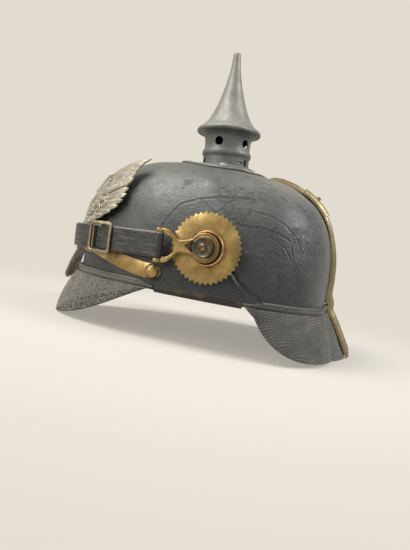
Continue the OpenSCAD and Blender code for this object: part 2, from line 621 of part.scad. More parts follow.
// The tail in rows of height, half angle and distance in front of the brow
tail_rows = [[62, 8.6, 4.4], [58.5, 8.2, 5], [55.6, 8, 6.4], [53.6, 7.8, 7.4], [50, 7.6, 8.8], [44, 8.2, 10.8],
    [38, 9, 12.2], [32, 9.8, 13.4], [28, 8.4, 13.9]];
function wing_lift(z) = tip_lift * smooth((z - 110) / 24);
function wing_pt(d, z, off) = skull_pt(-90 + d, z, off + wing_lift(z));
function tail_pt(d, z, out) =
    let(p = skull_pt(-90 + d, skull_edge_z, out)) [p[0], p[1], z];
module front_plate() {
    top = plate_air + eagle_t;
    function wing(off) = [for (r = wing_rows) [for (t = steps(8)) wing_pt(mix(r[1], r[2], t), r[0], off)]];
    function breast(off, lift) = [for (r = breast_rows) [for (u = [-1, -0.8, -0.5, -0.2, 0.2, 0.5, 0.8, 1])
        wing_pt(r[1] * u, r[0], off + lift * breast_rise * r[2] * (1 - u * u))]];
    function tail(t) = [for (k = [len(tail_rows) - 1:-1:0]) let(r = tail_rows[k])
        [for (u = [-1, -0.6, -0.2, 0.2, 0.6, 1]) tail_pt(r[1] * u, r[0], r[2] - t)]];
    color([0.62, 0.62, 0.6]) {
        both_sides() sheet(wing(top), wing(plate_air));
        sheet(breast(top + 0.2, 1), breast(plate_air + 0.1, 0));
        sheet(tail(0), tail(eagle_t));
    }
}
module front_plate_studs() {
    color([0.6, 0.6, 0.58]) both_sides() eagle_stud_place()
        translate([0, 0, -7]) cylinder(r = eagle_stud_r, h = 7 + plate_air - 0.4, $fn = 24);
}
module front_plate_nuts() {
    color([0.4, 0.4, 0.38]) both_sides() eagle_stud_place()
        translate([0, 0, -skull_wall - 1.2 - nut_h]) difference() {
            cylinder(r = 3.4, h = nut_h, $fn = 6);
            translate([0, 0, -1]) cylinder(r = eagle_stud_r + 0.05, h = nut_h + 2, $fn = 24);
        }
}

// Brass band round the brow and its rivets
rivet_f = -30.3;
rivet_z = skull_edge_z + 13;
rivet_shank_r = 1.6;
band_off = gap;
band_rise = 10.4;
function band_z(f) = rivet_z + band_rise * smooth((rivet_f - f) / 34);
module brow_band() {
    angles = [for (t = steps(32)) mix(-180 - rivet_f + 4, rivet_f + 4, t)];
    function mirror_f(f) = f < -90 ? -180 - f : f;
    function edge(f, s, off) = skull_pt(f, band_z(mirror_f(f)) + s * band_w / 2, off);
    color([0.75, 0.6, 0.32]) difference() {
        sheet(flip([for (f = angles) [edge(f, -1, band_off + brass_t), edge(f, 1, band_off + brass_t)]]),
            flip([for (f = angles) [edge(f, -1, band_off), edge(f, 1, band_off)]]));
        both_sides() rivet_place() translate([0, 0, -8]) cylinder(r = rivet_shank_r + shank_gap, h = 20, $fn = 24);
    }
}
module rivet_place() {
    p = skull_pt(rivet_f, rivet_z, 0);
    n = plan_normal(rivet_f);
    translate(p) rotate([0, 0, atan2(n[1], n[0])]) rotate([0, 90, 0]) children();
}
module brow_band_rivets() {
    seat = band_off + brass_t + 0.4;
    color([0.8, 0.66, 0.38]) both_sides() rivet_place() {
        translate([0, 0, seat]) intersection() {
            cylinder(r = rivet_r, h = 3.4, $fn = 32);
            translate([0, 0, 3.4 - 5.8]) sphere(r = 5.8, $fn = 32);
        }
        translate([0, 0, -5]) cylinder(r = rivet_shank_r, h = seat + 6, $fn = 24);
        translate([0, 0, -5]) cylinder(r = 3, h = 1.2, $fn = 24);
    }
}

// Side posts: their axis turns towards the front with the skull's side
post_z = skull_edge_z + post_h;
post_shank_r = 2.4;
post_seat = 2.2;
post_face_x = skull_half_w - 2.4;
neck_mid = post_seat + post_neck_len / 2;
post_root_y = post_y + neck_mid * sin(post_yaw);
module post_place() {
    translate([post_face_x, post_root_y, post_z]) rotate([0, 0, -post_yaw]) rotate([0, 90, 0]) children();
}
cockade_t = 1;
module cockade() {
    tooth = 360 / tooth_count;
    outline = [for (i = [0:tooth_count - 1]) for (s = [0, 0.5])
        let(r = s == 0 ? cockade_r - tooth_h : cockade_r, a = tooth * (i + s)) r * [cos(a), sin(a)]];
    color([0.8, 0.65, 0.36]) post_place() translate([0, 0, post_seat - gap / 3 - cockade_t])
        linear_extrude(height = cockade_t) difference() {
            polygon(outline);
            circle(r = post_shank_r + shank_gap, $fn = 32);
        }
}
module cockade_left() { cockade(); }
module cockade_right() { mirror([1, 0, 0]) cockade(); }
module side_post() {
    head_z = post_seat + post_neck_len;
    color([0.5, 0.47, 0.36]) post_place() rotate_extrude($fn = 48) polygon([
        [0, -11], [post_shank_r, -11], [post_shank_r, post_seat], [post_neck_r, post_seat], [post_neck_r, head_z],
        [post_head_r, head_z], [post_head_r, head_z + 1.6], [post_head_r - 0.8, head_z + 2.4],
        [post_head_r - 2, head_z + 2.5], [post_head_r - 2.8, head_z + 1.6], [2, head_z + 1.3], [0, head_z + 2]]);
}
module side_post_left() { side_post(); }
module side_post_right() { mirror([1, 0, 0]) side_post(); }
module side_post_nuts() {
    color([0.4, 0.38, 0.3]) both_sides() post_place() translate([0, 0, -skull_wall - 4 - nut_h]) difference() {
        cylinder(r = 5, h = nut_h, $fn = 6);
        translate([0, 0, -1]) cylinder(r = post_shank_r + 0.05, h = nut_h + 2, $fn = 24);
    }
}

// The strap turns about the posts; its frame has the post axis as origin
module strap_frame() {
    translate([0, post_y, post_z]) rotate([strap_dip, 0, 0]) children();
}
// Plan of the strap in its own frame: straight legs, corner bends and a flat bend in front
eye_x = post_face_x + neck_mid * cos(post_yaw);
bar_x = eye_x - hook_len * sin(post_yaw);
bar_y = -hook_len * cos(post_yaw);
leg_a = -90 - leg_turn;
leg_dir = [cos(leg_a), sin(leg_a)];
leg_end = [bar_x, bar_y] + leg_len * leg_dir;
corner_dir = [cos(-leg_turn), sin(-leg_turn)];
brow_y = plan_y(-90, 0) - brow_air - strap_t / 2 - post_y;
front_mid = [0, brow_y + strap_bend_r];
// The corner bend touches the leg's end and the front bend
to_front = leg_end - front_mid;
corner_r = (strap_bend_r * strap_bend_r - to_front * to_front) / (2 * (strap_bend_r - corner_dir * to_front));
corner_mid = leg_end - corner_r * corner_dir;
corner_a = atan2(corner_mid[1] - front_mid[1], corner_mid[0]);
loop_r = bar_r + gap + strap_t;
double_len = leg_len - buckle_back;
module leg_frame() {
    translate([bar_x, bar_y, -strap_drop]) rotate([0, 0, leg_a]) children();
}
// One side of the strap from the bar to the middle, off to the outside of its middle line
function leg_pt(t, off) = [bar_x, bar_y] + t * leg_dir + off * corner_dir;
function arc_pts(mid, r, from, to, n) = [for (t = steps(n)) mid + r * [cos(mix(from, to, t)), sin(mix(from, to, t))]];
// The strap's end is bent round the bar, and its two layers meet the bend where it is as thick as they are
loop_side = asin(strap_t / loop_r);
function loop_pts(s) = [for (k = [s > 0 ? 0 : 1:8]) let(a = mix(180, loop_side, k / 8))
    leg_pt(loop_r * cos(a), s * loop_r * sin(a))];
function strap_side(s) = concat(
    loop_pts(s), [leg_pt(double_len, s * strap_t), leg_pt(double_len, s * strap_t / 2)],
    arc_pts(corner_mid, corner_r + s * strap_t / 2, -leg_turn, corner_a, 8),
    [for (k = [1:6]) let(a = mix(corner_a, -90, k / 6)) front_mid + (strap_bend_r + s * strap_t / 2) * [cos(a), sin(a)]]);
function mirrored(line) = [for (k = [len(line) - 2:-1:0]) [-line[k][0], line[k][1]]];
module strap_plan() {
    outside = strap_side(1);
    inside = strap_side(-1);
    difference() {
        polygon(concat(outside, mirrored(outside), [for (k = [0:len(inside) - 2]) [-inside[k][0], inside[k][1]]],
            [for (k = [len(inside) - 1:-1:0]) inside[k]]));
        for (side = [0, 1]) mirror([side, 0]) translate([bar_x, bar_y]) rotate(leg_a - 11) circle(r = bar_r + gap, $fn = 32);
    }
}
module chin_strap() {
    color([0.2, 0.2, 0.21]) strap_frame() translate([0, 0, -strap_drop - strap_w / 2])
        linear_extrude(height = strap_w) strap_plan();
}

// Brass hook: an eye, a neck and a fork that carries the strap's bar
module strap_hook() {
    fork_half = strap_w / 2 + 1.9;
    neck_w = 7;
    // The fork's opening: a round end towards the post and a straight part round the strap
    hole_r = strap_w / 2 - 1.2;
    loop_end = hook_len - loop_r - gap;
    color([0.78, 0.63, 0.34]) strap_frame() {
        translate([eye_x, 0, 0]) rotate([0, 0, -post_yaw]) rotate([0, 90, 0]) rotate(90)
            translate([0, 0, -hook_t / 2]) linear_extrude(height = hook_t) difference() {
                union() {
                    circle(r = eye_r, $fn = 64);
                    polygon([[-eye_r * 0.75, -9.5], [-15, -4.2], [-20, -4.6], [-25, -7.6 - strap_drop],
                        [-29, -fork_half - strap_drop], [-hook_len + 0.6, -fork_half - strap_drop],
                        [-hook_len + 0.6, fork_half - strap_drop], [-29, fork_half - strap_drop],
                        [-25, 7.6 - strap_drop], [-20, 3.4], [-15, 3.8], [-eye_r * 0.75, 9.5]]);
                }
                circle(r = eye_hole_r, $fn = 48);
                polygon([[-4, -3.2], [-12.8, 0], [-4, 3.2]]);
                translate([-loop_end + 0.4, -strap_drop]) circle(r = hole_r, $fn = 48);
                translate([-hook_len - 6, -strap_w / 2 - gap - strap_drop]) square([hook_len + 6 - loop_end, strap_w + 2 * gap]);
            }
        leg_frame() {
            translate([0, 0, -fork_half]) cylinder(r = bar_r, h = 2 * fork_half, $fn = 32);
            for (s = [-1, 1]) translate([0, 0, s * (fork_half - 0.2) - 1.4]) cylinder(r = curl_r, h = 2.8, $fn = 32);
        }
    }
}
module strap_hook_left() { strap_hook(); }
module strap_hook_right() { mirror([1, 0, 0]) strap_hook(); }

// Buckle: a frame outside the strap joined to a bar behind it
module buckle() {
    w = strap_w + 2 * gap;
    t = 2 * strap_t + 2 * gap;
    high = w + 2 * buckle_bar;
    mid_x = leg_len - buckle_back;
    color([0.66, 0.55, 0.34]) strap_frame() leg_frame() translate([mid_x, 0, 0]) {
        difference() {
            translate([-buckle_len / 2, t / 2, -high / 2]) cube([buckle_len, buckle_t, high]);
            translate([-buckle_len / 2 + buckle_bar, t / 2 - 1, -w / 2]) cube([buckle_len - 2 * buckle_bar, buckle_t + 2, w]);
        }
        difference() {
            translate([-buckle_bar, -t / 2 - buckle_back_t, -high / 2]) cube([2 * buckle_bar, t + buckle_back_t + 0.5, high]);
            translate([-buckle_bar - 1, -t / 2, -w / 2]) cube([2 * buckle_bar + 2, t + 2, w]);
        }
    }
}
module buckle_left() { buckle(); }
module buckle_right() { mirror([1, 0, 0]) buckle(); }

skull();
front_visor();
rear_visor();
rim_binding();
sweatband();
lining_tongues();
base_plate();
spike_collar();
plate_studs();
plate_stud_nuts();
spike_neck();
spike_point();
bayonet_lugs();
rear_spine();
spine_prongs();
air_slider();
slider_knob();
front_plate();
front_plate_studs();
front_plate_nuts();
brow_band();
brow_band_rivets();
cockade_left();
cockade_right();
side_post_left();
side_post_right();
side_post_nuts();
chin_strap();
strap_hook_left();
strap_hook_right();
buckle_left();
buckle_right();
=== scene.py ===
"""A spiked leather helmet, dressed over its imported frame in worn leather, grey sheet steel, brass and white metal."""
import math

import bmesh
import bpy
import numpy as np
from mathutils import Matrix, Vector, kdtree, noise


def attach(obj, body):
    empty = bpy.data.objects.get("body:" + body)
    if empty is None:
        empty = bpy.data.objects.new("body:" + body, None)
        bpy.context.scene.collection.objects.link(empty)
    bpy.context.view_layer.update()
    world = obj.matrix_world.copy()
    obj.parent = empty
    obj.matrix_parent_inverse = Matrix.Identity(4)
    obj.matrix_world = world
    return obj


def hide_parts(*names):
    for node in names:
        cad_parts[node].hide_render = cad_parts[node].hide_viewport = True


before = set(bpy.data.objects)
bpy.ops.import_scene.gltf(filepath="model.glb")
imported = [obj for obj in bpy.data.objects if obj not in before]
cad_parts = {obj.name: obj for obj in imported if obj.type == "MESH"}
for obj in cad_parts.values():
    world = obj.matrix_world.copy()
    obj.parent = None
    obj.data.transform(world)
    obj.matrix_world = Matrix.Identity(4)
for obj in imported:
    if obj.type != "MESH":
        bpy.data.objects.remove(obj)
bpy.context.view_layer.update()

# Shapes are worked out in millimetres and turned to metres when their mesh is made
MM = 0.001
GAP = 0.3
# Angle in degrees from which an edge between two faces stays crisp
SHARP = 38

# The skull's measures, as in the CAD model
EDGE_Z = 36.0
HALF_W = 88.0
FRONT_LEN = 149.5
REAR_LEN = 60.5
WIDEST_Y = 39.0
SKULL_H = 104.7
SKULL_WALL = 2.5
PLAN_POWER = 2.08
SIDE_POWER, FRONT_POWER, REAR_POWER = 2.6, 3.0, 3.4
CROWN_SHIFT = 6.0
CROWN_DIP = 2.4
NAPE_TUCK = 3.0
# The crown's hole, as a share of the skull's half width
HOLE_SHARE = 0.115

# The visors and the binding between them. Angles are half of what each visor goes round.
SEAM_Z = 38.0
SEAM_TOP_Z = 42.0
VISOR_OFF = 2.7
FRONT_HALF_ANGLE, REAR_HALF_ANGLE = 61.0, 93.0
FRONT_REACH, FRONT_SIDE_REACH = 14.5, 8.0
REAR_REACH, REAR_SIDE_REACH = 23.0, 9.5
BINDING_WALL = 1.3
BINDING_H = 8.2
# How far the lining lies inside the leather's outside, its band's height, and how far the band leans inwards
BAND_IN = SKULL_WALL + 2 * GAP + BINDING_WALL
BAND_H, BAND_LEAN = 30.0, 3.0

# The spike and its plate, which lean to the rear on a seat on the crown. All angles are in degrees.
FOOT_Y = -3.5
SEAT_Z = 143.0
LEAN = 3.6
PLATE_R = 37.5
SEAT_R = 20.8
SHEET_T = 1.1
SPIKE_H = 97.2
TIP_R, CONE_R, FLARE_R = 3.2, 17.5, 5.6
FLANGE_Z = 24.4
RIM_H = 3.6
LIP_RISE = 3.0
VENT_COUNT = 5
VENT_R = 3.6

# The rear spine and its slider
SPINE_W = 13.0
SPINE_RISE = 4.6
RAIL_POWER = 0.45
BRASS_T = 1.0
SLIDER_ARC = 28.0
SLOT_HALF_W = 2.5
COVER_RISE = 6.0

# The side posts and the strap's plan
POST_Y = -3.0
POST_Z = 72.2
POST_YAW = 12.0
POST_ROOT = (85.6, -1.8565, POST_Z)
STRAP_DIP = 2.2
STRAP_DROP = 2.0
STRAP_W = 18.5
STRAP_T = 1.8
EYE_X = 90.980
BAR = (83.848, -33.551)
BAR_R = 1.3
HOOK_LEN = 34.3
LEG_A = -115.0
LEG_LEN = 57.0
DOUBLE_LEN = 51.6
# Arcs of the strap's plan: middle, radius and, for the corner, its angles
CORNER = (16.92, -65.24, 47.26, -25.0, -69.24)
FRONT_BEND = (0.0, -20.6, 95.0)
TOOTH_COUNT = 40


# Numbers and places

def signed_pow(v, p):
    return np.sign(v) * np.abs(v) ** p


def smooth(t):
    t = np.clip(t, 0, 1)
    return t * t * (3 - 2 * t)


def mix(a, b, t):
    return a + (b - a) * t


def hill(v, at, width, power=2):
    """A rounded peak of height 1."""
    return np.exp(-((v - at) / width) ** power)


def stack(*parts):
    return np.stack(np.broadcast_arrays(*[np.asarray(p, float) for p in parts]), -1)


def plan(f, off):
    """The skull's plan at the angle f in degrees, 0 at the wearer's left and -90 at the brow."""
    a = np.radians(f)
    s = np.sin(a)
    from_nape = np.degrees(np.arctan2(np.abs(np.cos(a)), s))
    off = off - NAPE_TUCK * hill(from_nape, 19, 9)
    length = np.where(s < 0, FRONT_LEN, REAR_LEN) + off
    return (HALF_W + off) * signed_pow(np.cos(a), 2 / PLAN_POWER), WIDEST_Y + length * signed_pow(s, 2 / PLAN_POWER)


def wall_power(s):
    return mix(SIDE_POWER, np.where(s < 0, FRONT_POWER, REAR_POWER), s * s)


def crown_dip(sin_f, s):
    """How far the crown's rear sinks. The last number is the height of the curve's own peak."""
    return CROWN_DIP * np.maximum(0, sin_f) * s * s * (1 - s) ** 4 / 0.022


def skull_at(f, k, s, off):
    x, y = plan(f, off)
    z = EDGE_Z + k * (SKULL_H + off) - crown_dip(np.sin(np.radians(f)), s)
    return stack(s * x, FOOT_Y - CROWN_SHIFT * k ** 4 + s * (y - FOOT_Y), z)


def skull_uv(f, v, off):
    """A point of the skull, off the leather's outside: v goes from 0 at the edge to 1 at the top."""
    n = wall_power(np.sin(np.radians(f)))
    return skull_at(f, np.sin(np.pi / 2 * v) ** (2 / n), np.cos(np.pi / 2 * v) ** (2 / n), off)


def skull_pt(f, z, off):
    """A point of the skull at a height."""
    n = wall_power(np.sin(np.radians(f)))
    k = np.clip((z - EDGE_Z) / (SKULL_H + off), 0, 1)
    p = skull_at(f, k, (1 - k ** n) ** (1 / n), off)
    p[..., 2] = z
    return p


def plan_normal(f):
    ax, ay = plan(f - 1, 0)
    bx, by = plan(f + 1, 0)
    size = np.hypot(bx - ax, by - ay)
    return (by - ay) / size, (ax - bx) / size


def crown_height(x, y, off):
    """Height of the crown over a point of the table, found by halving."""
    def reach(y_in, s, k):
        out = (y_in + CROWN_SHIFT * k ** 4 - FOOT_Y) / s + FOOT_Y - WIDEST_Y
        return out, np.abs(out / (np.where(out < 0, FRONT_LEN, REAR_LEN) + off)) ** PLAN_POWER

    def ring(k):
        first, share = reach(y, (1 - k ** FRONT_POWER) ** (1 / FRONT_POWER), k)
        sin_f = np.sign(first) * np.sqrt(np.clip(share, 0, 1))
        n = wall_power(sin_f)
        s = (1 - k ** n) ** (1 / n)
        return np.abs(x / s / (HALF_W + off)) ** PLAN_POWER + reach(y, s, k)[1], s, sin_f
    low, high = np.zeros_like(x), np.full_like(x, 0.9999)
    for _ in range(30):
        k = (low + high) / 2
        inside = ring(k)[0] < 1
        low, high = np.where(inside, k, low), np.where(inside, high, k)
    k = (low + high) / 2
    s, sin_f = ring(k)[1:]
    return EDGE_Z + k * (SKULL_H + off) - crown_dip(sin_f, s)


def rough(points, size, seed=0, octaves=3):
    """Smooth noise from about -1 to 1 at points in millimetres, with features of the given size."""
    flat = np.asarray(points, float).reshape(-1, 3) / size + 17.3 * seed
    values = [noise.fractal(Vector(p), 0.9, 2.1, octaves) for p in flat.tolist()]
    return np.array(values).reshape(np.shape(points)[:-1])


def away_from(line, y, z):
    """Distance from points of the side view to a drawn line."""
    best = np.full(np.shape(y), np.inf)
    for (ay, az), (by, bz) in zip(line, line[1:]):
        dy, dz = by - ay, bz - az
        t = np.clip(((y - ay) * dy + (z - az) * dz) / (dy * dy + dz * dz), 0, 1)
        best = np.minimum(best, np.hypot(y - ay - t * dy, z - az - t * dz))
    return best


# Lines and closed shapes: a part is its points and its faces

def curved(points, steps):
    """A smooth line through the points."""
    p = np.asarray(points, float)
    last = len(p) - 1
    out = []
    for i in range(last):
        a, b, c, d = (p[min(max(i + j, 0), last)] for j in (-1, 0, 1, 2))
        for t in np.arange(steps) / steps:
            out.append(0.5 * (2 * b + (c - a) * t + (2 * a - 5 * b + 4 * c - d) * t ** 2
                              + (3 * b - a - 3 * c + d) * t ** 3))
    return np.array(out + [p[-1]])


def direction(line):
    d = np.gradient(np.asarray(line, float), axis=0)
    return d / np.linalg.norm(d, axis=1)[:, None]


def run_along(line):
    """How far each point lies along the line."""
    return np.r_[0, np.cumsum(np.linalg.norm(np.diff(line, axis=0), axis=1))]


def arc(x, y, r, start, end, n):
    a = np.radians(np.linspace(start, end, n))
    return np.stack([x + r * np.cos(a), y + r * np.sin(a)], -1)


def rounded_box(w, h, r, n=6):
    """A rectangle with round corners about the origin."""
    x, y = w / 2 - r, h / 2 - r
    corners = ((x, y, 0), (-x, y, 90), (-x, -y, 180), (x, -y, 270))
    return np.concatenate([arc(cx, cy, r, a, a + 90, n) for cx, cy, a in corners])


def loft(sections, ring=False):
    """Joins closed outlines, one after another, into a closed skin."""
    p = np.asarray(sections, float)
    n, m = p.shape[:2]
    i = np.arange(n if ring else n - 1)[:, None]
    j = np.arange(m)[None, :]
    after_i, after_j = (i + 1) % n, (j + 1) % m
    corners = [i * m + j, i * m + after_j, after_i * m + after_j, after_i * m + j]
    faces = np.stack(corners, -1).reshape(-1, 4).tolist()
    if not ring:
        faces += [list(range(m))[::-1], list(range((n - 1) * m, n * m))]
    return p.reshape(-1, 3), faces


def lathe(profile, n=64):
    """Turns a closed outline of radius and height about the Z axis."""
    p = np.asarray(profile, float)
    a = 2 * np.pi * np.arange(n)[:, None] / n
    return loft(stack(p[:, 0] * np.cos(a), p[:, 0] * np.sin(a), p[:, 1] + 0 * a), ring=True)


def tube(path, radius, n=12):
    """A round bar along a line, with square ends."""
    p, d = np.asarray(path, float), direction(path)
    side = np.cross(d, np.where(np.abs(d[:, 2:]) < 0.9, [[0, 0, 1.0]], [[0, 1.0, 0]]))
    side /= np.linalg.norm(side, axis=1)[:, None]
    up = np.cross(side, d)
    a = (2 * np.pi * np.arange(n) / n)[None, :, None]
    r = np.broadcast_to(np.asarray(radius, float), len(p))[:, None, None]
    return loft(p[:, None] + r * (side[:, None] * np.cos(a) + up[:, None] * np.sin(a)))


def placed(part, matrix):
    verts, faces = part
    m = np.array(matrix)
    return verts @ m[:3, :3].T + m[:3, 3], faces


def seen_from(matrix, points):
    """Points in the measures of a frame."""
    m = np.array(matrix)
    return (points - m[:3, 3]) @ m[:3, :3]


def joined(*parts):
    verts, faces, start = [], [], 0
    for v, f in parts:
        verts.append(v)
        faces += [[i + start for i in face] for face in f]
        start += len(v)
    return np.concatenate(verts), faces


def mirrored(part):
    return part[0] * [-1, 1, 1], part[1]


def sided(part, side):
    return mirrored(part) if side == "right" else part


def turn(degrees, axis):
    return Matrix.Rotation(math.radians(degrees), 4, axis)


def shift(*p):
    return Matrix.Translation(p)


SPIKE_FRAME = shift(0, FOOT_Y, SEAT_Z) @ turn(LEAN, "X")
POST_FRAME = shift(*POST_ROOT) @ turn(-POST_YAW, "Z") @ turn(90, "Y")
STRAP_FRAME = shift(0, POST_Y, POST_Z) @ turn(STRAP_DIP, "X")
HOOK_FRAME = STRAP_FRAME @ shift(EYE_X, 0, 0) @ turn(-POST_YAW, "Z") @ turn(90, "Y") @ turn(90, "Z")
LEG_FRAME = STRAP_FRAME @ shift(*BAR, -STRAP_DROP) @ turn(LEG_A, "Z")


# Meshes and pieces

def new_object(name, data):
    obj = bpy.data.objects.new(name, data)
    bpy.context.scene.collection.objects.link(obj)
    return obj


def evaluated_mesh(obj):
    return bpy.data.meshes.new_from_object(obj.evaluated_get(bpy.context.evaluated_depsgraph_get()))


def plate(outlines, thick, bevel):
    """A flat plate with softened edges. The first outline is its rim and the others are holes."""
    curve = bpy.data.curves.new("outline", "CURVE")
    curve.dimensions = "2D"
    curve.fill_mode = "BOTH"
    curve.extrude = thick / 2 - bevel
    curve.bevel_depth = bevel
    curve.bevel_resolution = 1
    curve.offset = -bevel
    for line in outlines:
        spline = curve.splines.new("POLY")
        spline.points.add(len(line) - 1)
        spline.points.foreach_set("co", np.c_[line, np.zeros(len(line)), np.ones(len(line))].ravel())
        spline.use_cyclic_u = True
    obj = new_object("outline", curve)
    mesh = evaluated_mesh(obj)
    part = np.array([v.co for v in mesh.vertices]), [list(f.vertices) for f in mesh.polygons]
    bpy.data.objects.remove(obj)
    bpy.data.curves.remove(curve)
    bpy.data.meshes.remove(mesh)
    return part


def settle(mesh, sharp=SHARP):
    """Merges doubled points, points every face outwards and keeps the real corners crisp."""
    bm = bmesh.new()
    bm.from_mesh(mesh)
    bmesh.ops.remove_doubles(bm, verts=bm.verts, dist=0.002 * MM)
    bmesh.ops.dissolve_degenerate(bm, edges=bm.edges, dist=0.0001 * MM)
    bmesh.ops.recalc_face_normals(bm, faces=bm.faces)
    bm.to_mesh(mesh)
    bm.free()
    mesh.shade_smooth()
    mesh.set_sharp_from_angle(angle=math.radians(sharp))


def mesh_of(name, part, sharp=SHARP):
    mesh = bpy.data.meshes.new(name)
    mesh.from_pydata((part[0] * MM).tolist(), [], part[1])
    settle(mesh, sharp)
    return mesh


def dress(obj, finish, body, node=None):
    """Gives a piece its finish and the body it rides on, and hides the imported node that it stands for."""
    obj.data.materials.clear()
    obj.data.materials.append(finish)
    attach(obj, body)
    if node:
        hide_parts(node)
    return obj


def piece(name, part, finish, body, node=None, sharp=SHARP):
    return dress(new_object(name, mesh_of(name, part, sharp)), finish, body, node)


def repaint(obj, finish, chosen):
    """Gives a second finish to the faces that are chosen by their middle and their normal."""
    obj.data.materials.append(finish)
    for face in obj.data.polygons:
        if chosen(np.array(face.center) / MM, face.normal):
            face.material_index = 1


def keep_result(obj, step):
    """Makes what a modifier gives the object's own mesh."""
    made, old = evaluated_mesh(obj), obj.data
    obj.modifiers.remove(step)
    obj.data = made
    bpy.data.meshes.remove(old)


def cut_away(obj, part):
    """Cuts a closed shape out of a piece."""
    cutter = new_object("cutter", mesh_of("cutter", part))
    step = obj.modifiers.new("cut", "BOOLEAN")
    step.operation = "DIFFERENCE"
    step.solver = "EXACT"
    step.object = cutter
    keep_result(obj, step)
    bpy.data.objects.remove(cutter)
    obj.data.set_sharp_from_angle(angle=math.radians(SHARP))


def points_of(obj):
    co = np.zeros(len(obj.data.vertices) * 3)
    obj.data.vertices.foreach_get("co", co)
    return co.reshape(-1, 3) / MM


def mark(obj, name, values):
    """Stores one number on each point of a piece, for its material."""
    obj.data.attributes.new(name, "FLOAT", "POINT").data.foreach_set("value", np.asarray(values, float))


# Finishes

def tone(r, g, b):
    """A colour as it is seen, given in steps of 255."""
    def linear(c):
        c /= 255
        return c / 12.92 if c <= 0.04045 else ((c + 0.055) / 1.055) ** 2.4
    return linear(r), linear(g), linear(b), 1.0


class Nodes:
    """A node tree with short calls: each adds a node, feeds its inputs and gives one of its outputs."""

    def __init__(self, tree):
        self.tree = tree

    def feed(self, socket, value):
        if isinstance(value, bpy.types.NodeSocket):
            self.tree.links.new(value, socket)
        else:
            socket.default_value = value

    def add(self, kind, feeds=None, output=0, **settings):
        node = self.tree.nodes.new(kind)
        for key, value in settings.items():
            setattr(node, key, value)
        for key, value in (feeds or {}).items():
            self.feed(node.inputs[key], value)
        return node.outputs[output] if len(node.outputs) else None

    def math(self, operation, a, b=0.0):
        return self.add("ShaderNodeMath", {0: a, 1: b}, operation=operation)

    def times(self, a, b):
        return self.math("MULTIPLY", a, b)

    def most(self, a, b):
        return self.math("MAXIMUM", a, b)

    def apart(self, a, b):
        return self.math("ABSOLUTE", self.math("SUBTRACT", a, b))

    def level(self, value, low, high, first=0.0, last=1.0):
        """Goes smoothly from first to last as the value goes from low to high."""
        feeds = {"Value": value, "From Min": low, "From Max": high, "To Min": first, "To Max": last}
        return self.add("ShaderNodeMapRange", feeds, interpolation_type="SMOOTHSTEP")

    def xyz(self, x=0.0, y=0.0, z=0.0):
        return self.add("ShaderNodeCombineXYZ", {0: x, 1: y, 2: z})


class Finish(Nodes):
    """A material built from patterns on Object coordinates. Sizes and places are in millimetres."""

    def __init__(self, name, constants=None):
        self.material = bpy.data.materials.new(name)
        self.material.use_nodes = True
        super().__init__(self.material.node_tree)
        self.shader = next(n for n in self.tree.nodes if n.type == "BSDF_PRINCIPLED")
        self.place = self.add("ShaderNodeTexCoord", output="Object")
        self.colour = self.normal = None
        for key, value in (constants or {}).items():
            self.feed(self.shader.inputs[key], value)

    def where(self, stretch=(1, 1, 1), turned=(0, 0, 0), warp=None):
        """The place on the piece, stretched and turned. A warp bends it, by its size and its reach."""
        angles = [math.radians(a) for a in turned]
        place = self.add("ShaderNodeMapping", {"Vector": self.place, "Scale": stretch, "Rotation": angles})
        if not warp:
            return place
        size, reach = warp
        swirl = self.add("ShaderNodeTexNoise", {"Scale": 1 / (size * MM), "Detail": 2, "Vector": place}, "Color")
        return self.add("ShaderNodeVectorMath", {0: swirl, 1: [reach * MM] * 3, 2: place}, operation="MULTIPLY_ADD")

    def noise(self, size, detail=4, grit=0.55, **where):
        feeds = {"Scale": 1 / (size * MM), "Detail": detail, "Roughness": grit, "Vector": self.where(**where)}
        return self.add("ShaderNodeTexNoise", feeds)

    def cells(self, size, **where):
        """Distance from the borders of uneven cells."""
        feeds = {"Scale": 1 / (size * MM), "Vector": self.where(**where)}
        return self.add("ShaderNodeTexVoronoi", feeds, "Distance", feature="DISTANCE_TO_EDGE")

    def along(self, axis, low, high, first=0.0, last=1.0):
        """Goes from first to last between two places of an axis."""
        at = self.add("ShaderNodeSeparateXYZ", {0: self.place}, axis)
        return self.level(at, low * MM, high * MM, first, last)

    def beside(self, axis, middle, far, near):
        """Goes from 0 at the far distance to 1 at the near one, on both sides of a place of an axis."""
        at = self.add("ShaderNodeSeparateXYZ", {0: self.place}, axis)
        return self.level(self.apart(at, middle * MM), far * MM, near * MM)

    def marked(self, name):
        """A number that the piece's own mesh carries on each point."""
        return self.add("ShaderNodeAttribute", output="Fac", attribute_name=name)

    def ground(self, value, *stops):
        """The first colours, one after another as the value rises."""
        self.colour = self.add("ShaderNodeValToRGB", {0: value}, "Color")
        marks = self.colour.node.color_ramp.elements
        while len(marks) < len(stops):
            marks.new(0.5)
        for stop, (at, colour) in zip(marks, stops):
            stop.position = at
            stop.color = tone(*colour)

    def coat(self, colour, cover, share=None):
        """Lays a colour over the ones before it, as far as the cover says, or at most to the share."""
        if share is not None:
            cover = self.times(cover, share)
        feeds = {0: cover, 6: self.colour, 7: tone(*colour)}
        self.colour = self.add("ShaderNodeMix", feeds, 2, data_type="RGBA")

    def relief(self, height, depth, strength=1.0):
        feeds = {"Distance": depth * MM, "Strength": strength, "Height": height}
        if self.normal is not None:
            feeds["Normal"] = self.normal
        self.normal = self.add("ShaderNodeBump", feeds)

    def done(self, roughness):
        for key, value in (("Base Color", self.colour), ("Roughness", roughness), ("Normal", self.normal)):
            self.feed(self.shader.inputs[key], value)
        return self.material


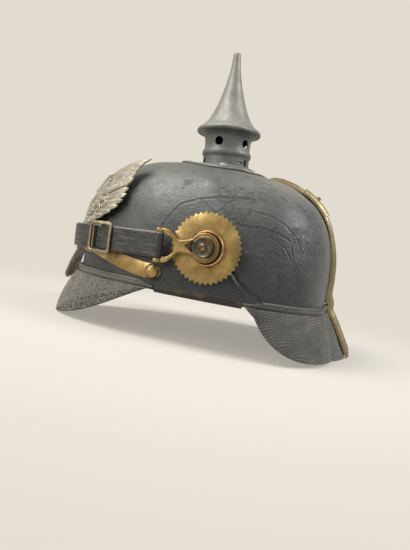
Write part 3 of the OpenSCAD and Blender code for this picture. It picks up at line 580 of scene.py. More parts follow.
def skull_leather():
    """Old black lacquer gone grey: wrinkled in patches, scuffed pale and scratched, with painted shade and painted
    highlights.
    """
    m = Finish("skull leather", {"Specular IOR Level": 0.45})
    patches, fine = m.noise(34, 3, 0.6), m.noise(2.2, 5, 0.7)
    upper_crown = m.along("Z", 85, 125)
    creased = m.times(m.level(m.noise(24, 2, warp=(30, 16)), 0.47, 0.62), m.along("Y", -55, 0, 0.15))
    wrinkles = m.noise(2.8, 4, 0.6, stretch=(1, 0.4, 1), turned=(25, 0, 0), warp=(11, 8))
    folds = m.times(m.level(m.apart(wrinkles, 0.5), 0.0, 0.025, 1.0, 0.0), creased)
    crazing = m.times(m.level(m.cells(3.4, warp=(5, 4)), 0.0, 0.05, 1.0, 0.0), m.times(creased, upper_crown))
    scratches = [m.level(m.noise(1.5, 2, stretch=(1, 1, 0.05), turned=(angle, 0, 0)), low, low + 0.06)
                 for angle, low in ((24, 0.66), (-32, 0.67))]
    m.ground(patches, (0.25, (54, 57, 59)), (0.5, (65, 67, 67)), (0.75, (84, 83, 79)))
    m.coat((100, 98, 91), m.level(fine, 0.35, 0.75, 0.0, 0.3))
    # Painted shade low on the sides round the rosette, painted shadow under the hook, and painted highlight on the
    # crown and its rear
    m.coat((40, 43, 46), m.times(m.along("Z", 128, 90), m.beside("Y", 25, 68, 34)), 0.42)
    # Painted highlight on the upper crown
    m.coat((112, 110, 101), upper_crown, 0.35)
    # Painted shadow of the strap and hook on the leather under the hook
    m.coat((22, 24, 26), m.times(m.beside("Y", -27, 22, 8), m.beside("Z", 55, 20, 6)), 0.55)
    # Painted highlight high at the rear and along the rear edge
    high_rear = m.times(m.along("Z", 112, 132), m.along("Y", 0, 30))
    m.coat((146, 144, 136), m.most(high_rear, m.along("Y", 70, 100)), 0.3)
    # Painted shade in the grooves of the fine folds and of the lacquer's cracks
    m.coat((40, 40, 38), folds, 0.4)
    m.coat((40, 39, 36), crazing, 0.3)
    m.coat((132, 129, 120), m.times(m.most(*scratches), m.level(patches, 0.5, 0.6)), 0.28)
    # Painted shade along the carved creases
    m.coat((26, 27, 28), m.marked("crease_shade"))
    # Pale scuffs, and a painted highlight high on the front of the left side
    m.coat((150, 145, 132), m.marked("scuff_and_highlight"), 0.55)
    m.relief(fine, 0.10, 0.8)
    m.relief(m.noise(0.7, 3), 0.03)
    m.relief(m.math("SUBTRACT", 1.0, m.most(folds, crazing)), 0.28)
    m.relief(wrinkles, 0.25)
    m.relief(m.noise(9, 4, 0.6), 0.5)
    return m.done(m.level(fine, 0.3, 0.7, 0.38, 0.54))


def visor_leather():
    """The visors' pebbled leather, with grain in ridges and cracks along its folds."""
    m = Finish("visor leather", {"Specular IOR Level": 0.4})
    pebbles, patches = m.level(m.cells(1.5, warp=(4, 2.5)), 0.0, 0.16), m.noise(22, 3)
    wave = m.math("SINE", m.times(m.marked("grain"), 2 * math.pi))
    below_seam = m.along("Z", 36.2, 36.8, 1.0, 0.0)
    ridges = m.times(m.level(wave, -0.7, 0.6), below_seam)
    valley_shade = m.times(m.level(wave, -0.2, -0.9), m.level(m.noise(7, 3), 0.38, 0.62, 0.15, 0.7))
    m.ground(patches, (0.3, (88, 88, 86)), (0.55, (106, 104, 98)), (0.75, (124, 121, 112)))
    m.coat((152, 147, 134), m.along("Y", -30, -70, 0.0, 0.45))
    m.coat((52, 51, 48), m.math("SUBTRACT", 1.0, pebbles), 0.3)
    # Painted shade in the valleys of the ripples
    m.coat((52, 51, 48), m.times(valley_shade, below_seam))
    m.coat((142, 138, 126), m.level(m.noise(1.1, 3), 0.55, 0.75, 0.0, 0.5))
    # Painted shade in the hollows, darker where they are deeper
    m.coat((40, 40, 38), m.level(m.marked("hollow"), 0.0, 1.0), 0.6)
    # Painted shade in the groove under the bead and along the flange's top edge
    m.coat((30, 30, 28), m.marked("crease_shade"))
    # Pale along the flange's top and the free edge: wear, with painted highlight on these edges
    m.coat((138, 134, 124), m.marked("scuff_and_highlight"), 0.6)
    m.relief(pebbles, 0.08)
    m.relief(ridges, 0.34)
    m.relief(m.noise(0.8, 3), 0.06)
    m.relief(m.noise(6, 4), 0.3)
    return m.done(m.level(patches, 0.3, 0.7, 0.44, 0.58))


def binding_leather():
    """Olive-brown binding with ochre stains."""
    m = Finish("binding leather")
    stains = m.level(m.noise(8, 3, 0.6, warp=(14, 8)), 0.56, 0.64)
    m.ground(m.noise(3, 5), (0.3, (22, 23, 21)), (0.6, (33, 32, 28)), (0.8, (50, 47, 38)))
    m.coat((112, 88, 44), stains, 0.4)
    # Pale along the top edge: wear, with painted highlight
    m.coat((120, 114, 94), m.marked("scuff_and_highlight"), 0.4)
    m.relief(m.noise(1.2, 4), 0.12)
    m.relief(m.cells(2.4, warp=(3, 2)), 0.1)
    return m.done(m.level(stains, 0, 1, 0.5, 0.62))


def lining_leather(name, pale, dark):
    """Soft lining leather, darkened by wear."""
    m = Finish(name, {"Sheen Weight": 0.15})
    m.ground(m.noise(16, 5, 0.6), (0.3, dark), (0.7, pale))
    m.coat((60, 42, 26), m.level(m.noise(0.9, 3), 0.5, 0.8, 0.0, 0.35))
    m.relief(m.cells(1.3, warp=(2, 1.5)), 0.12)
    m.relief(m.noise(5, 3), 0.3)
    return m.done(0.62)


def strap_leather():
    """The strap's black leather: lengthwise wrinkles with painted shade in their troughs, and a pale dry edge, paler on
    its upper side as a painted highlight.
    """
    m = Finish("strap leather", {"Specular IOR Level": 0.45})
    wrinkles = m.noise(1.5, 4, 0.6, stretch=(0.16, 0.16, 1.1), warp=(7, 2))
    m.ground(m.noise(18, 4), (0.3, (46, 47, 47)), (0.7, (66, 66, 63)))
    m.coat((112, 110, 103), m.level(wrinkles, 0.58, 0.7), 0.55)
    # Painted shade in the wrinkles' troughs
    m.coat((28, 28, 27), m.level(wrinkles, 0.42, 0.5, 1.0, 0.0), 0.5)
    # Pale edges: wear, with painted highlight on the upper edge
    m.coat((132, 128, 114), m.marked("edge"), 0.75)
    m.relief(wrinkles, 0.35)
    m.relief(m.noise(0.6, 3), 0.05)
    return m.done(m.level(wrinkles, 0.35, 0.65, 0.5, 0.36))


def painted_steel(name, dull, mid, bright):
    """Grey service finish on sheet steel, rubbed and stained."""
    m = Finish(name, {"Metallic": 0.25})
    cloud = m.noise(14, 5, 0.65, warp=(12, 6))
    m.ground(cloud, (0.3, dull), (0.52, mid), (0.75, bright))
    m.coat(dull, m.level(m.noise(3, 4, 0.6, stretch=(1, 1, 0.12)), 0.5, 0.72, 0.0, 0.35))
    m.coat((70, 62, 50), m.level(m.noise(1.3, 4, 0.7), 0.64, 0.72, 0.0, 0.5))
    m.relief(m.noise(0.9, 4), 0.05)
    m.relief(m.noise(9, 3), 0.25)
    return m.done(m.level(cloud, 0.3, 0.7, 0.56, 0.42))


def metal(name, dull, mid, bright, grime_and_shade, smear, roughness=(0.5, 0.3), metallic=0.9, dents=0.2):
    """Old bare metal: cloudy tarnish, dirt in spots, fine rubbing, and, where a piece marks it, dirt with painted
    shade.
    """
    m = Finish(name, {"Metallic": metallic})
    cloud = m.noise(smear, 5, 0.62, warp=(smear, smear / 2))
    pale_marks = m.noise(1.1, 3, stretch=(1, 1, 0.2), turned=(30, 0, 0))
    m.ground(cloud, (0.3, dull), (0.52, mid), (0.74, bright))
    m.coat(bright, m.level(pale_marks, 0.5, 0.75, 0.0, 0.3))
    m.coat(grime_and_shade, m.level(m.noise(2.6, 5, 0.7), 0.62, 0.72), 0.55)
    # Where a piece marks it: tarnish and dirt, with painted shade in hollows and round feet
    m.coat(grime_and_shade, m.marked("grime_and_shade"), 0.8)
    m.relief(m.noise(7, 3), dents)
    m.relief(pale_marks, 0.02)
    return m.done(m.level(cloud, 0.3, 0.7, *roughness))


SKULL_LEATHER = skull_leather()
VISOR_LEATHER = visor_leather()
BINDING = binding_leather()
SWEATBAND_LEATHER = lining_leather("sweatband leather", (148, 110, 72), (92, 66, 42))
TONGUE_LEATHER = lining_leather("tongue leather", (164, 130, 90), (112, 84, 56))
THREAD = lining_leather("thread", (92, 89, 80), (66, 64, 57))
STRAP_LEATHER = strap_leather()
GREY_STEEL = painted_steel("grey steel", (113, 112, 106), (133, 131, 123), (148, 145, 134))
# A darker copy of the grey steel: painted shade for the neck, its collar, the lip's underside and the crown plate under
# the spike
SHADED_STEEL = painted_steel("dark grey steel", (93, 95, 92), (111, 112, 108), (132, 131, 123))
PLAIN_STEEL = metal("plain steel", (92, 90, 86), (122, 120, 115), (150, 148, 142), (74, 60, 46), 5)
WHITE_METAL = metal("white metal", (150, 143, 126), (178, 171, 153), (196, 190, 173), (84, 77, 64), 7,
                    (0.56, 0.42), 0.45, 0.12)
BRASS = metal("brass", (124, 102, 62), (158, 133, 83), (206, 178, 116), (84, 70, 44), 13, (0.48, 0.3), 0.85)
SPINE_BRASS = metal("dull brass", (120, 106, 78), (146, 129, 94), (174, 154, 114), (80, 70, 52), 18, (0.5, 0.36), 0.75)
BRONZE = metal("bronze", (112, 102, 80), (140, 128, 102), (168, 154, 124), (76, 70, 58), 5, (0.48, 0.34))
POST_METAL = metal("post metal", (58, 57, 46), (86, 82, 66), (116, 108, 86), (44, 41, 34), 4, (0.5, 0.36), 0.75)
COPPER = metal("copper", (160, 116, 76), (192, 144, 98), (214, 172, 124), (112, 82, 54), 6, (0.4, 0.28))
NUB = metal("worn nub", (84, 66, 48), (112, 88, 62), (150, 122, 88), (56, 46, 36), 3, (0.46, 0.34))


# Repeated things: node trees for the stitches and the rosettes' teeth

class Repeats(Nodes):
    """A Geometry Nodes tree whose named inputs are given as socket kinds and values."""

    def __init__(self, name, **inputs):
        super().__init__(bpy.data.node_groups.new(name, "GeometryNodeTree"))
        face = self.tree.interface
        self.keys = {}
        for key, (kind, value) in inputs.items():
            item = face.new_socket(key.capitalize().replace("_", " "), in_out="INPUT", socket_type="NodeSocket" + kind)
            if value is not None:
                item.default_value = value
            self.keys[key] = item.identifier
        face.new_socket("Geometry", in_out="OUTPUT", socket_type="NodeSocketGeometry")
        sockets = self.tree.nodes.new("NodeGroupInput").outputs
        self.given = dict(zip(inputs, sockets))

    def end(self, shape, finish):
        """Makes the copies real, gives them their finish and passes them out."""
        real = self.add("GeometryNodeRealizeInstances", {0: shape})
        self.add("NodeGroupOutput", {0: self.add("GeometryNodeSetMaterial", {"Geometry": real, "Material": finish})})
        return self

    def grow(self, obj, **values):
        """Runs the tree on an object and keeps the result as a plain mesh."""
        step = obj.modifiers.new("repeats", "NODES")
        step.node_group = self.tree
        for key, value in values.items():
            step[self.keys[key]] = value
        keep_result(obj, step)


def stitch_tree():
    """Sets a small rounded body on every point of a mesh, turned as the point's own turn says."""
    net = Repeats("stitches", points=("Geometry", None), length=("Float", 2.6 * MM), width=("Float", 0.8 * MM),
                  height=("Float", 0.6 * MM), unevenness=("Float", 0.12), seed=("Int", 0))
    given = net.given
    dots = net.add("GeometryNodeMeshToPoints", {"Mesh": given["points"]})
    body = net.add("GeometryNodeMeshUVSphere", {"Segments": 8, "Rings": 5, "Radius": 0.5})
    low, high = (net.math(operation, 1.0, given["unevenness"]) for operation in ("SUBTRACT", "ADD"))
    vary = net.add("FunctionNodeRandomValue", {2: low, 3: high, "Seed": given["seed"]}, 1)
    size = net.xyz(given["length"], given["width"], given["height"])
    scale = net.add("ShaderNodeVectorMath", {0: size, "Scale": vary}, operation="SCALE")
    turned = net.add("GeometryNodeInputNamedAttribute", {"Name": "turn"}, data_type="FLOAT_VECTOR")
    feeds = {"Points": dots, "Instance": body, "Rotation": turned, "Scale": scale}
    return net.end(net.add("GeometryNodeInstanceOnPoints", feeds), THREAD)


def tooth_tree():
    """Sets pointed teeth round a disc's rim."""
    net = Repeats("rosette teeth", disc=("Geometry", None), count=("Int", TOOTH_COUNT),
                  root_radius=("Float", 24.1 * MM), tooth_height=("Float", 2.1 * MM), tooth_width=("Float", 2.05 * MM),
                  thickness=("Float", 0.5 * MM), face_height=("Float", 1.45 * MM))
    given = net.given
    circle = net.add("GeometryNodeMeshCircle", {"Vertices": given["count"], "Radius": given["root_radius"]})
    dots = net.add("GeometryNodeMeshToPoints", {"Mesh": circle})
    feeds = {"Vertices": 4, "Radius Bottom": 1.0, "Depth": given["tooth_height"]}
    tooth = net.add("GeometryNodeMeshCone", feeds, "Mesh")
    share = net.math("DIVIDE", net.add("GeometryNodeInputIndex"), given["count"])
    turned = net.xyz(0.0, math.pi / 2, net.times(share, 2 * math.pi))
    size = net.xyz(given["thickness"], given["tooth_width"], 1.0)
    feeds = {"Points": dots, "Instance": tooth, "Rotation": turned, "Scale": size}
    ring = net.add("GeometryNodeInstanceOnPoints", feeds)
    lifted = net.add("GeometryNodeSetPosition", {"Geometry": ring, "Offset": net.xyz(z=given["face_height"])})
    together = net.add("GeometryNodeJoinGeometry", {0: lifted})
    net.feed(together.node.inputs[0], given["disc"])
    return net.end(together, BRASS)


STITCHES = stitch_tree()
TEETH = tooth_tree()


def stitch_row(name, points, along, out, size, body, seed):
    """Stitches on points, with their length along one direction and their height along the other."""
    mesh = bpy.data.meshes.new(name)
    mesh.from_pydata((points * MM).tolist(), [], [])
    turns = []
    for a, o in zip(along, out):
        x = Vector(a).normalized()
        z = (Vector(o) - x * x.dot(Vector(o))).normalized()
        turns += list(Matrix((x, z.cross(x), z)).transposed().to_euler())
    mesh.attributes.new("turn", "FLOAT_VECTOR", "POINT").data.foreach_set("vector", turns)
    obj = new_object(name, mesh)
    length, width, height = (s * MM for s in size)
    STITCHES.grow(obj, length=length, width=width, height=height, seed=seed)
    obj.data.shade_smooth()
    dress(obj, THREAD, body)


def spaced(line, pitch):
    """Points at an even pitch along a line, and the line's direction there."""
    line = np.asarray(line, float)
    run = run_along(line)
    at = np.arange(pitch / 2, run[-1], pitch)

    def on_line(there):
        return np.stack([np.interp(np.clip(there, 0, run[-1]), run, line[:, i]) for i in range(3)], -1)
    return on_line(at), on_line(at + 0.5) - on_line(at - 0.5)


# The camera stands at the wearer's left, a little behind, and is rolled

def place_camera():
    behind, down, roll = math.radians(3.5), math.radians(3.0), math.radians(9.75)
    aim, distance = Vector((0, -5 * MM, 49 * MM)), 0.46
    look = Vector((-math.cos(behind) * math.cos(down), -math.sin(behind) * math.cos(down), -math.sin(down)))
    level = look.cross(Vector((0, 0, 1))).normalized()
    rise = level.cross(look)
    right = math.cos(roll) * level + math.sin(roll) * rise
    up = math.cos(roll) * rise - math.sin(roll) * level
    data = bpy.data.cameras.new("camera")
    data.sensor_width = 36
    data.lens = 34.63
    camera = new_object("camera", data)
    camera.matrix_world = Matrix.Translation(aim - look * distance) @ Matrix((right, up, -look)).transposed().to_4x4()
    bpy.context.scene.camera = camera


place_camera()


# Leather shell

# Where the leather has creased: lines of the side view as distance to the rear and height, their width and depth
CREASES = [
    ([(-38.8, 81), (-36.2, 87), (-31.4, 94), (-26.6, 101), (-13.9, 107), (2.6, 111), (21.6, 113)], 0.6, 0.42),
    ([(3.8, 102), (19.4, 92), (34.9, 93), (45.8, 91), (55.7, 87)], 0.55, 0.35),
    ([(19.1, 59), (24.6, 53), (33, 47), (41.4, 43)], 1.1, 1.3),
    ([(16.2, 56), (21.6, 50), (28, 44.5), (31, 42.6)], 0.9, 0.9),
    ([(44, 119), (49.7, 116), (56.4, 117)], 0.55, 0.4),
    ([(63.3, 69), (66.7, 79), (69.4, 88)], 0.5, 0.3),
    ([(1.8, 99), (5.6, 106), (13.4, 111)], 0.5, 0.3),
    ([(-13, 107), (-4, 100), (4, 96), (14, 95)], 0.6, 0.35),
    ([(24, 104), (38, 103), (50, 98), (60, 90), (66, 80)], 0.6, 0.3),
    ([(30, 50), (31, 58), (29, 64)], 0.5, 0.3),
    ([(52, 46), (53, 55), (51, 62)], 0.5, 0.3),
    ([(61, 46), (70, 62), (76, 72)], 0.45, 0.3),
    ([(76, 46), (68, 62), (60, 74), (57, 84)], 0.45, 0.3),
    ([(40, 88), (52, 82), (60, 72), (66, 58)], 0.5, 0.3),
]
# The right side's creases are the left side's, moved by this much
RIGHT_MOVED = (-5, -3)
SCUFF = (-14.5, 119.0)
# Middle of a painted highlight on the left side, as distance to the rear and height
HIGHLIGHT_SPOT = (-46.0, 107.0)


def crease_depth(p):
    """Depth of the creases at points of the skull, in millimetres, and how much painted shade their lines get."""
    depth, dark = np.zeros(p.shape[:-1]), np.zeros(p.shape[:-1])
    for side, (ahead, up) in ((1, (0, 0)), (-1, RIGHT_MOVED)):
        near = p[..., 0] * side > 12
        for line, width, deep in CREASES:
            d = away_from([(y + ahead, z + up) for y, z in line], p[..., 1], p[..., 2])
            depth += near * deep * (hill(d, 0, width) - 0.5 * hill(d, 2.1 * width, width))
            dark = np.maximum(dark, near * 0.85 * hill(d, 0, 0.8 * width) * min(1, deep / 0.55))
    return depth, dark


def left_spot(p, middle, wide, high):
    """A soft round spot on the left side."""
    return hill(p[..., 1], middle[0], wide) * hill(p[..., 2], middle[1], high) * (p[..., 0] > 10)


def make_skull():
    f = np.r_[np.arange(-75, 80, 0.5), np.arange(80, 285, 1.25)][:, None]
    end = math.acos(HOLE_SHARE ** (SIDE_POWER / 2)) / (math.pi / 2)
    rows = np.linspace(0, end, 140)[None, :]
    outer = skull_uv(f, rows, 0)
    swell = 0.35 * rough(outer, 34, 1, 2) + 0.14 * rough(outer, 8, 2, 2)
    swell += 0.3 * left_spot(outer, SCUFF, 6, 3.5) * rough(outer, 1.8, 12, 2)
    fade = smooth(rows / 0.06) * smooth((end - rows) / 0.12)
    shaped = skull_uv(f, rows, (swell - crease_depth(outer)[0]) * fade)
    inner = skull_uv(f, np.linspace(end, 0, 24)[None, :], -SKULL_WALL)
    lower = skull_pt(f, np.full((1, 1), EDGE_Z), -SKULL_WALL / 2)
    lower[..., 2] -= 0.2
    obj = piece("skull_shell", loft(np.concatenate([shaped, inner, lower], 1), ring=True), SKULL_LEATHER, "shell",
                "skull")
    cut_away(obj, air_slot())
    p = points_of(obj)
    # The creases' lines get painted shade
    mark(obj, "crease_shade", crease_depth(p)[1])
    scuffed = left_spot(p, SCUFF, 6, 3) * np.clip(0.55 + 2.2 * rough(p, 1.6, 13, 2), 0, 1)
    # A painted highlight high on the front of the left side
    pale_marks = 0.42 * left_spot(p, HIGHLIGHT_SPOT, 15, 9) * np.clip(0.8 + 0.9 * rough(p, 9, 15, 3), 0, 1)
    mark(obj, "scuff_and_highlight", np.maximum(scuffed, pale_marks))


# Visors: u runs from -1 to 1 round the plan, t from 0 at the seam to 1 at the free edge

def front_shape(u):
    """Angle of the plan, share of the full fall, reach outwards and bow."""
    fall = np.maximum(0.02, (1 - np.abs(u) ** 2.6) ** 1.25)
    return FRONT_HALF_ANGLE * u - 90, fall, mix(FRONT_REACH, FRONT_SIDE_REACH, smooth(np.abs(u) / 0.8)), 0.8


def rear_shape(u):
    fall = np.maximum(0.02, (1 - np.abs(u) ** 6) ** 0.9 * (1 - 0.065 * smooth(np.abs(u) / 0.4)))
    reach = mix(REAR_SIDE_REACH, REAR_REACH, np.exp((0.03 - np.hypot(u, 0.03)) / 0.17))
    return REAR_HALF_ANGLE * u + 90, fall, reach, 0.1


def visor_pt(shape, u, t, off):
    f, fall, reach, bow = shape(u)
    p = skull_pt(f + 0 * t, SEAM_Z + 0 * t, off)
    nx, ny = plan_normal(f)
    out = reach * fall * (t + bow * t * (1 - t))
    return stack(p[..., 0] + nx * out, p[..., 1] + ny * out, np.maximum(0, SEAM_Z - (SEAM_Z + 0.8) * fall * t))


def front_ripples(p, u, t):
    """Grain that runs from the seam to the edge, and cracks that are deepest near the edge.

    Gives the lift in millimetres and the grain's count of ridges.
    """
    ridges_a_side = 52
    turns = u * ridges_a_side + 3.4 * rough(p * [1, 1, 0.5], 16, 3, 3)
    cracks = np.clip(1 - np.abs(rough(p * [1, 1, 0.8], 5, 4, 3)) * 7, 0, 1)
    cracks *= smooth((rough(p, 20, 5, 1) + 0.2 + 0.5 * smooth((t - 0.6) / 0.3)) / 0.3)
    edge = smooth((t - mix(0.86, 0.6, smooth((np.abs(u) - 0.3) / 0.3))) / 0.1)
    edge *= np.clip(1 - np.abs(rough(p, 3.2, 14, 2)) * 5, 0, 1)
    return 0.1 * rough(p, 3, 6, 2) - 0.3 * cracks - 0.6 * edge, turns


def rear_ripples(p, u, t):
    """Ripples like a finger's print, round a point low on the visor."""
    middle_y, middle_z, pitch = 70, -22, 2.2
    swirl = np.hypot(p[..., 1] - middle_y, (p[..., 2] - middle_z) * 1.25)
    turns = swirl / pitch + 3.0 * rough(p, 26, 7, 2) + 0.5 * rough(p, 8, 16, 2)
    strength = 0.12 * smooth((rough(p, 18, 8, 1) + 0.55) / 0.5) + 0.03
    return strength * np.sin(2 * np.pi * turns) + 0.2 * rough(p, 16, 9, 2), turns


def make_visor(name, node, shape, columns, ripples):
    groove_z, bead_z, stitch_z, rubbed_z, top_z = 37.0, 39.9, 40.6, 41.2, 42.1
    u = np.linspace(-1, 1, columns)[:, None]
    f = shape(u)[0]
    flange_h = mix(SEAM_TOP_Z, SEAM_Z + 0.9, smooth((np.abs(u) - 0.88) / 0.12)) - SEAM_Z
    z = SEAM_Z + (flange_h - 0.4) * np.linspace(1, 0, 9)[None, :-1]
    t = (np.linspace(0, 1, 76) ** 1.1)[None, :-1]

    def outside(flange_off, flap_off):
        return np.concatenate([skull_pt(f, z + 0 * u, flange_off), visor_pt(shape, u, t, flap_off)], 1)
    plain = outside(VISOR_OFF, VISOR_OFF)
    down = np.concatenate([0 * z - 0.1, t + 0 * u], 1)
    ripple, grain = ripples(plain, u, down)
    bead = 0.18 * hill(plain[..., 2], bead_z, 1.6, 4) - 0.75 * hill(plain[..., 2], groove_z, 0.6)
    lift = bead * smooth((1 - np.abs(u)) / 0.03) + ripple * smooth((down - 0.03) / 0.06)
    lift *= smooth((1 - np.maximum(down, 0)) / 0.02)
    columns_up = z.shape[1]
    skin = outside(VISOR_OFF + lift[:, :columns_up], VISOR_OFF + lift[:, columns_up:])
    rim = []
    for off, raised in ((2.45, 0.15), (1.9, 0), (1.1, 0), (0.55, 0.15)):
        edge = visor_pt(shape, u, np.full((1, 1), 1.0), off)
        edge[..., 2] += raised
        rim.append(edge)
    inner = visor_pt(shape, u, np.linspace(0.98, 0, 16)[None, :], GAP)
    back = skull_pt(f, SEAM_Z + (flange_h - 0.4) * np.array([[0.35, 0.7, 1]]), GAP)
    top = [skull_pt(f, SEAM_Z + flange_h, off) for off in (0.9, 2.1)]
    obj = piece(name, loft(np.concatenate([skin, *rim, inner, back, *top], 1)), VISOR_LEATHER, "shell",
                node)
    p = points_of(obj)
    high = p[:, 2]
    # Painted shade in the groove under the bead and along the flange's top edge
    mark(obj, "crease_shade", 0.85 * hill(high, groove_z, 0.6) + 0.7 * hill(high, top_z, 0.45))
    # Pale along the flange's top and along the free edge: wear, with painted highlight on these edges
    mark(obj, "scuff_and_highlight", 0.6 * hill(high, rubbed_z, 0.4) + 0.6 * hill(high, 0, 1.2))
    # Each point of the finished mesh takes its grain and the painted shade of its hollows from the nearest point of the
    # outside
    flat = skin.reshape(-1, 3)
    tree = kdtree.KDTree(len(flat))
    for i, q in enumerate(flat.tolist()):
        tree.insert(q, i)
    tree.balance()
    found = [tree.find(q)[1:] for q in p.tolist()]
    near, far = np.array([i for i, _ in found]), np.array([d for _, d in found])
    on_flap = (far < 0.5) & (flat[near, 2] < groove_z - 0.4)
    mark(obj, "hollow", np.where(on_flap, np.clip(-lift.ravel()[near] * 2.2, 0, 1), 0))
    mark(obj, "grain", np.broadcast_to(grain, lift.shape).ravel()[near])
    line = skull_pt(shape(np.linspace(-0.97, 0.97, 200))[0], np.full(200, stitch_z), VISOR_OFF + 0.42)
    at, along = spaced(line, 3.3)
    centre = [0, 30, at[:, 2].mean()]
    stitch_row(name + "_stitches", at, along, at - centre, (2.3, 0.75, 0.6), "shell", 3)


def make_rim_binding():
    """The folded binding between the visors: up the outside, round the edge and up the inside."""
    fold_z, outside_top = EDGE_Z + 0.6, EDGE_Z + 4.1
    inside_top = EDGE_Z - GAP - BINDING_WALL + BINDING_H - 0.3
    past_visor = 0.3
    f = np.linspace(FRONT_HALF_ANGLE - 90 + past_visor, 90 - REAR_HALF_ANGLE - past_visor, 60)[:, None]
    skins = []
    for wall in (0.0, BINDING_WALL):
        path = [(1.6 - wall, z) for z in np.linspace(outside_top, fold_z, 10)]
        path += [(-1.25 + (2.85 - wall) * math.cos(a), fold_z - (2.2 - wall * 0.9) * math.sin(a))
                 for a in np.radians(np.linspace(15, 165, 9))]
        path += [(-4.1 + wall, z) for z in np.linspace(fold_z, inside_top, 6)]
        off, z = np.array(path[::-1] if wall else path).T
        skin = skull_pt(f, np.maximum(z, EDGE_Z + 0.01)[None, :], off[None, :])
        taper = mix(1, 0.6, smooth((np.abs(f + 16) - 11.0) / 1.6))
        skin[..., 2] = np.where(z > fold_z, fold_z + (z - fold_z) * taper, z)
        skins.append(skin)
    skins[0][..., 0] += 0.25 * hill(skins[0][..., 2], 37.4, 0.7) + 0.12 * rough(skins[0], 7, 11, 2)
    part = loft(np.concatenate(skins, 1))
    obj = piece("rim_leather", joined(part, mirrored(part)), BINDING, "shell", "rim_binding")
    # Pale along the top edge: wear, with painted highlight
    mark(obj, "scuff_and_highlight", hill(points_of(obj)[:, 2], outside_top, 0.4))


def make_sweatband():
    wall, wave_count, stitch_h = 1.4, 26, 26.0
    f = np.linspace(0, 360, 181)[:-1][:, None]
    high = np.linspace(0, 1, 14)[None, :]
    z = EDGE_Z + GAP + BAND_H * high
    waves = 0.175 * np.sin(np.radians(f) * wave_count) * high
    outer = skull_pt(f, z, -BAND_IN - BAND_LEAN * high)
    inner = skull_pt(f, z[:, ::-1], -BAND_IN - BAND_LEAN * high[:, ::-1] - wall + waves[:, ::-1])
    lip = skull_pt(f, z[:, -1:], -BAND_IN - BAND_LEAN - wall / 2)
    lip[..., 2] += 0.4
    hem = skull_pt(f, z[:, :1], -BAND_IN - wall / 2)
    hem[..., 2] -= 0.3
    piece("sweatband_leather", loft(np.concatenate([outer, lip, inner, hem], 1), ring=True), SWEATBAND_LEATHER,
          "shell", "sweatband")
    off = -BAND_IN - BAND_LEAN * stitch_h / BAND_H - wall - 0.05
    line = skull_pt(np.linspace(0, 360, 361), np.full(361, EDGE_Z + stitch_h), off)
    at, along = spaced(line, 4)
    stitch_row("sweatband_stitches", at, along, [0, 20, 60] - at, (2.9, 0.7, 0.6), "shell", 5)


def make_tongues():
    """Ten tongues that rise from the sweatband and bend in under the crown."""
    count, half_angle, wall, top_v = 10, 15.5, 1.4, 0.66
    off = -BAND_IN - BAND_LEAN - wall - GAP
    foot_v = math.asin((22.3 / SKULL_H) ** 1.45) / (math.pi / 2)
    t = np.linspace(0, 1, 26)[:, None]
    side = np.linspace(-1, 1, 15)[None, :]
    round_end = np.where(t > 0.86, np.sqrt(np.clip(1 - ((t - 0.86) / 0.16) ** 2, 0.02, 1)), 1)
    curl = -5 * t * t + 0.5 * (side ** 2 - 0.4) * t
    v = mix(foot_v, top_v, t) + 0 * side
    tongues = []
    for k in range(count):
        angle = 360 / count * (k + 0.5) + half_angle * side * (1 - 0.45 * t * t) * round_end
        top, low = skull_uv(angle, v, off + curl), skull_uv(angle, v, off - wall + curl)
        tongues.append(loft(np.concatenate([top, low[:, ::-1]], 1)))
    piece("lining_tongue_leather", joined(*tongues), TONGUE_LEATHER, "shell", "lining_tongues")


# Spike group

def make_base_plate():
    """A dished plate: a flat seat in the middle, and a lip that lies on the crown."""
    r = np.r_[10, 14, 18, np.linspace(SEAT_R, PLATE_R - 1.2, 18)]
    a = np.linspace(0, 2 * np.pi, 145)[:-1][:, None]

    def surface(radius, lift=0.0):
        x, y = radius * np.cos(a), FOOT_Y + radius * np.sin(a)
        seat = SEAT_Z + math.tan(math.radians(LEAN)) * (y - FOOT_Y) - 0.1
        on_crown = smooth((radius - SEAT_R) / (PLATE_R - SEAT_R - 4))
        return stack(x, y, mix(seat, crown_height(x, y, GAP) + SHEET_T, on_crown) + lift)
    top = surface(r[None, :])
    edge = surface(PLATE_R - np.array([[0.9, 0.4, 0.05, 0]]), [0.45, 0.55, 0.2, -0.5])
    low = surface(np.r_[PLATE_R - 0.2, PLATE_R - 1.5, r[::-1][1:]][None, :], -1.05)
    # The plate takes the darker copy of the steel: painted shade under the spike
    obj = piece("crown_plate", loft(np.concatenate([top, edge, low], 1), ring=True), SHADED_STEEL, "shell",
                "base_plate")
    # The lip's edge, where it faces up, gets the lighter grey steel: a painted highlight along it
    repaint(obj, GREY_STEEL, lambda c, n: np.hypot(c[0], c[1] - FOOT_Y) > PLATE_R - 0.75 and n[2] > 0.3)


def make_neck():
    """The vented neck, with a soft bead over the collar."""
    profile = [(17.0, 0.4), (18.1, 0.4), (18.1, 6.1), (19.55, 6.1), (19.6, 7.4), (20.1, 8.1), (20.75, 9.1),
               (20.95, 10.4), (20.8, 11.8), (20.2, 13.0), (19.5, 13.8), (19.3, 15.0), (19.35, 18.0), (19.6, 21.5),
               (20.2, 24.35), (19.1, 24.35), (18.2, 15.0), (18.1, 13.0), (17.0, 7.1)]
    # The neck takes the darker copy of the steel: painted shade under the spike's lip
    obj = piece("vented_neck", placed(lathe(profile, 120), SPIKE_FRAME), SHADED_STEEL, "spike",
                "spike_neck")
    drill = lathe([(0, -4), (VENT_R, -4), (VENT_R, 4), (0, 4)], 40)
    first_angle, wall_r, vent_z = -20, 19.3, 18.9
    angles = [first_angle + 360 / VENT_COUNT * k for k in range(VENT_COUNT)]
    cut_away(obj, joined(*[placed(drill, SPIKE_FRAME @ turn(a, "Z") @ shift(wall_r, 0, vent_z) @ turn(90, "Y"))
                           for a in angles]))


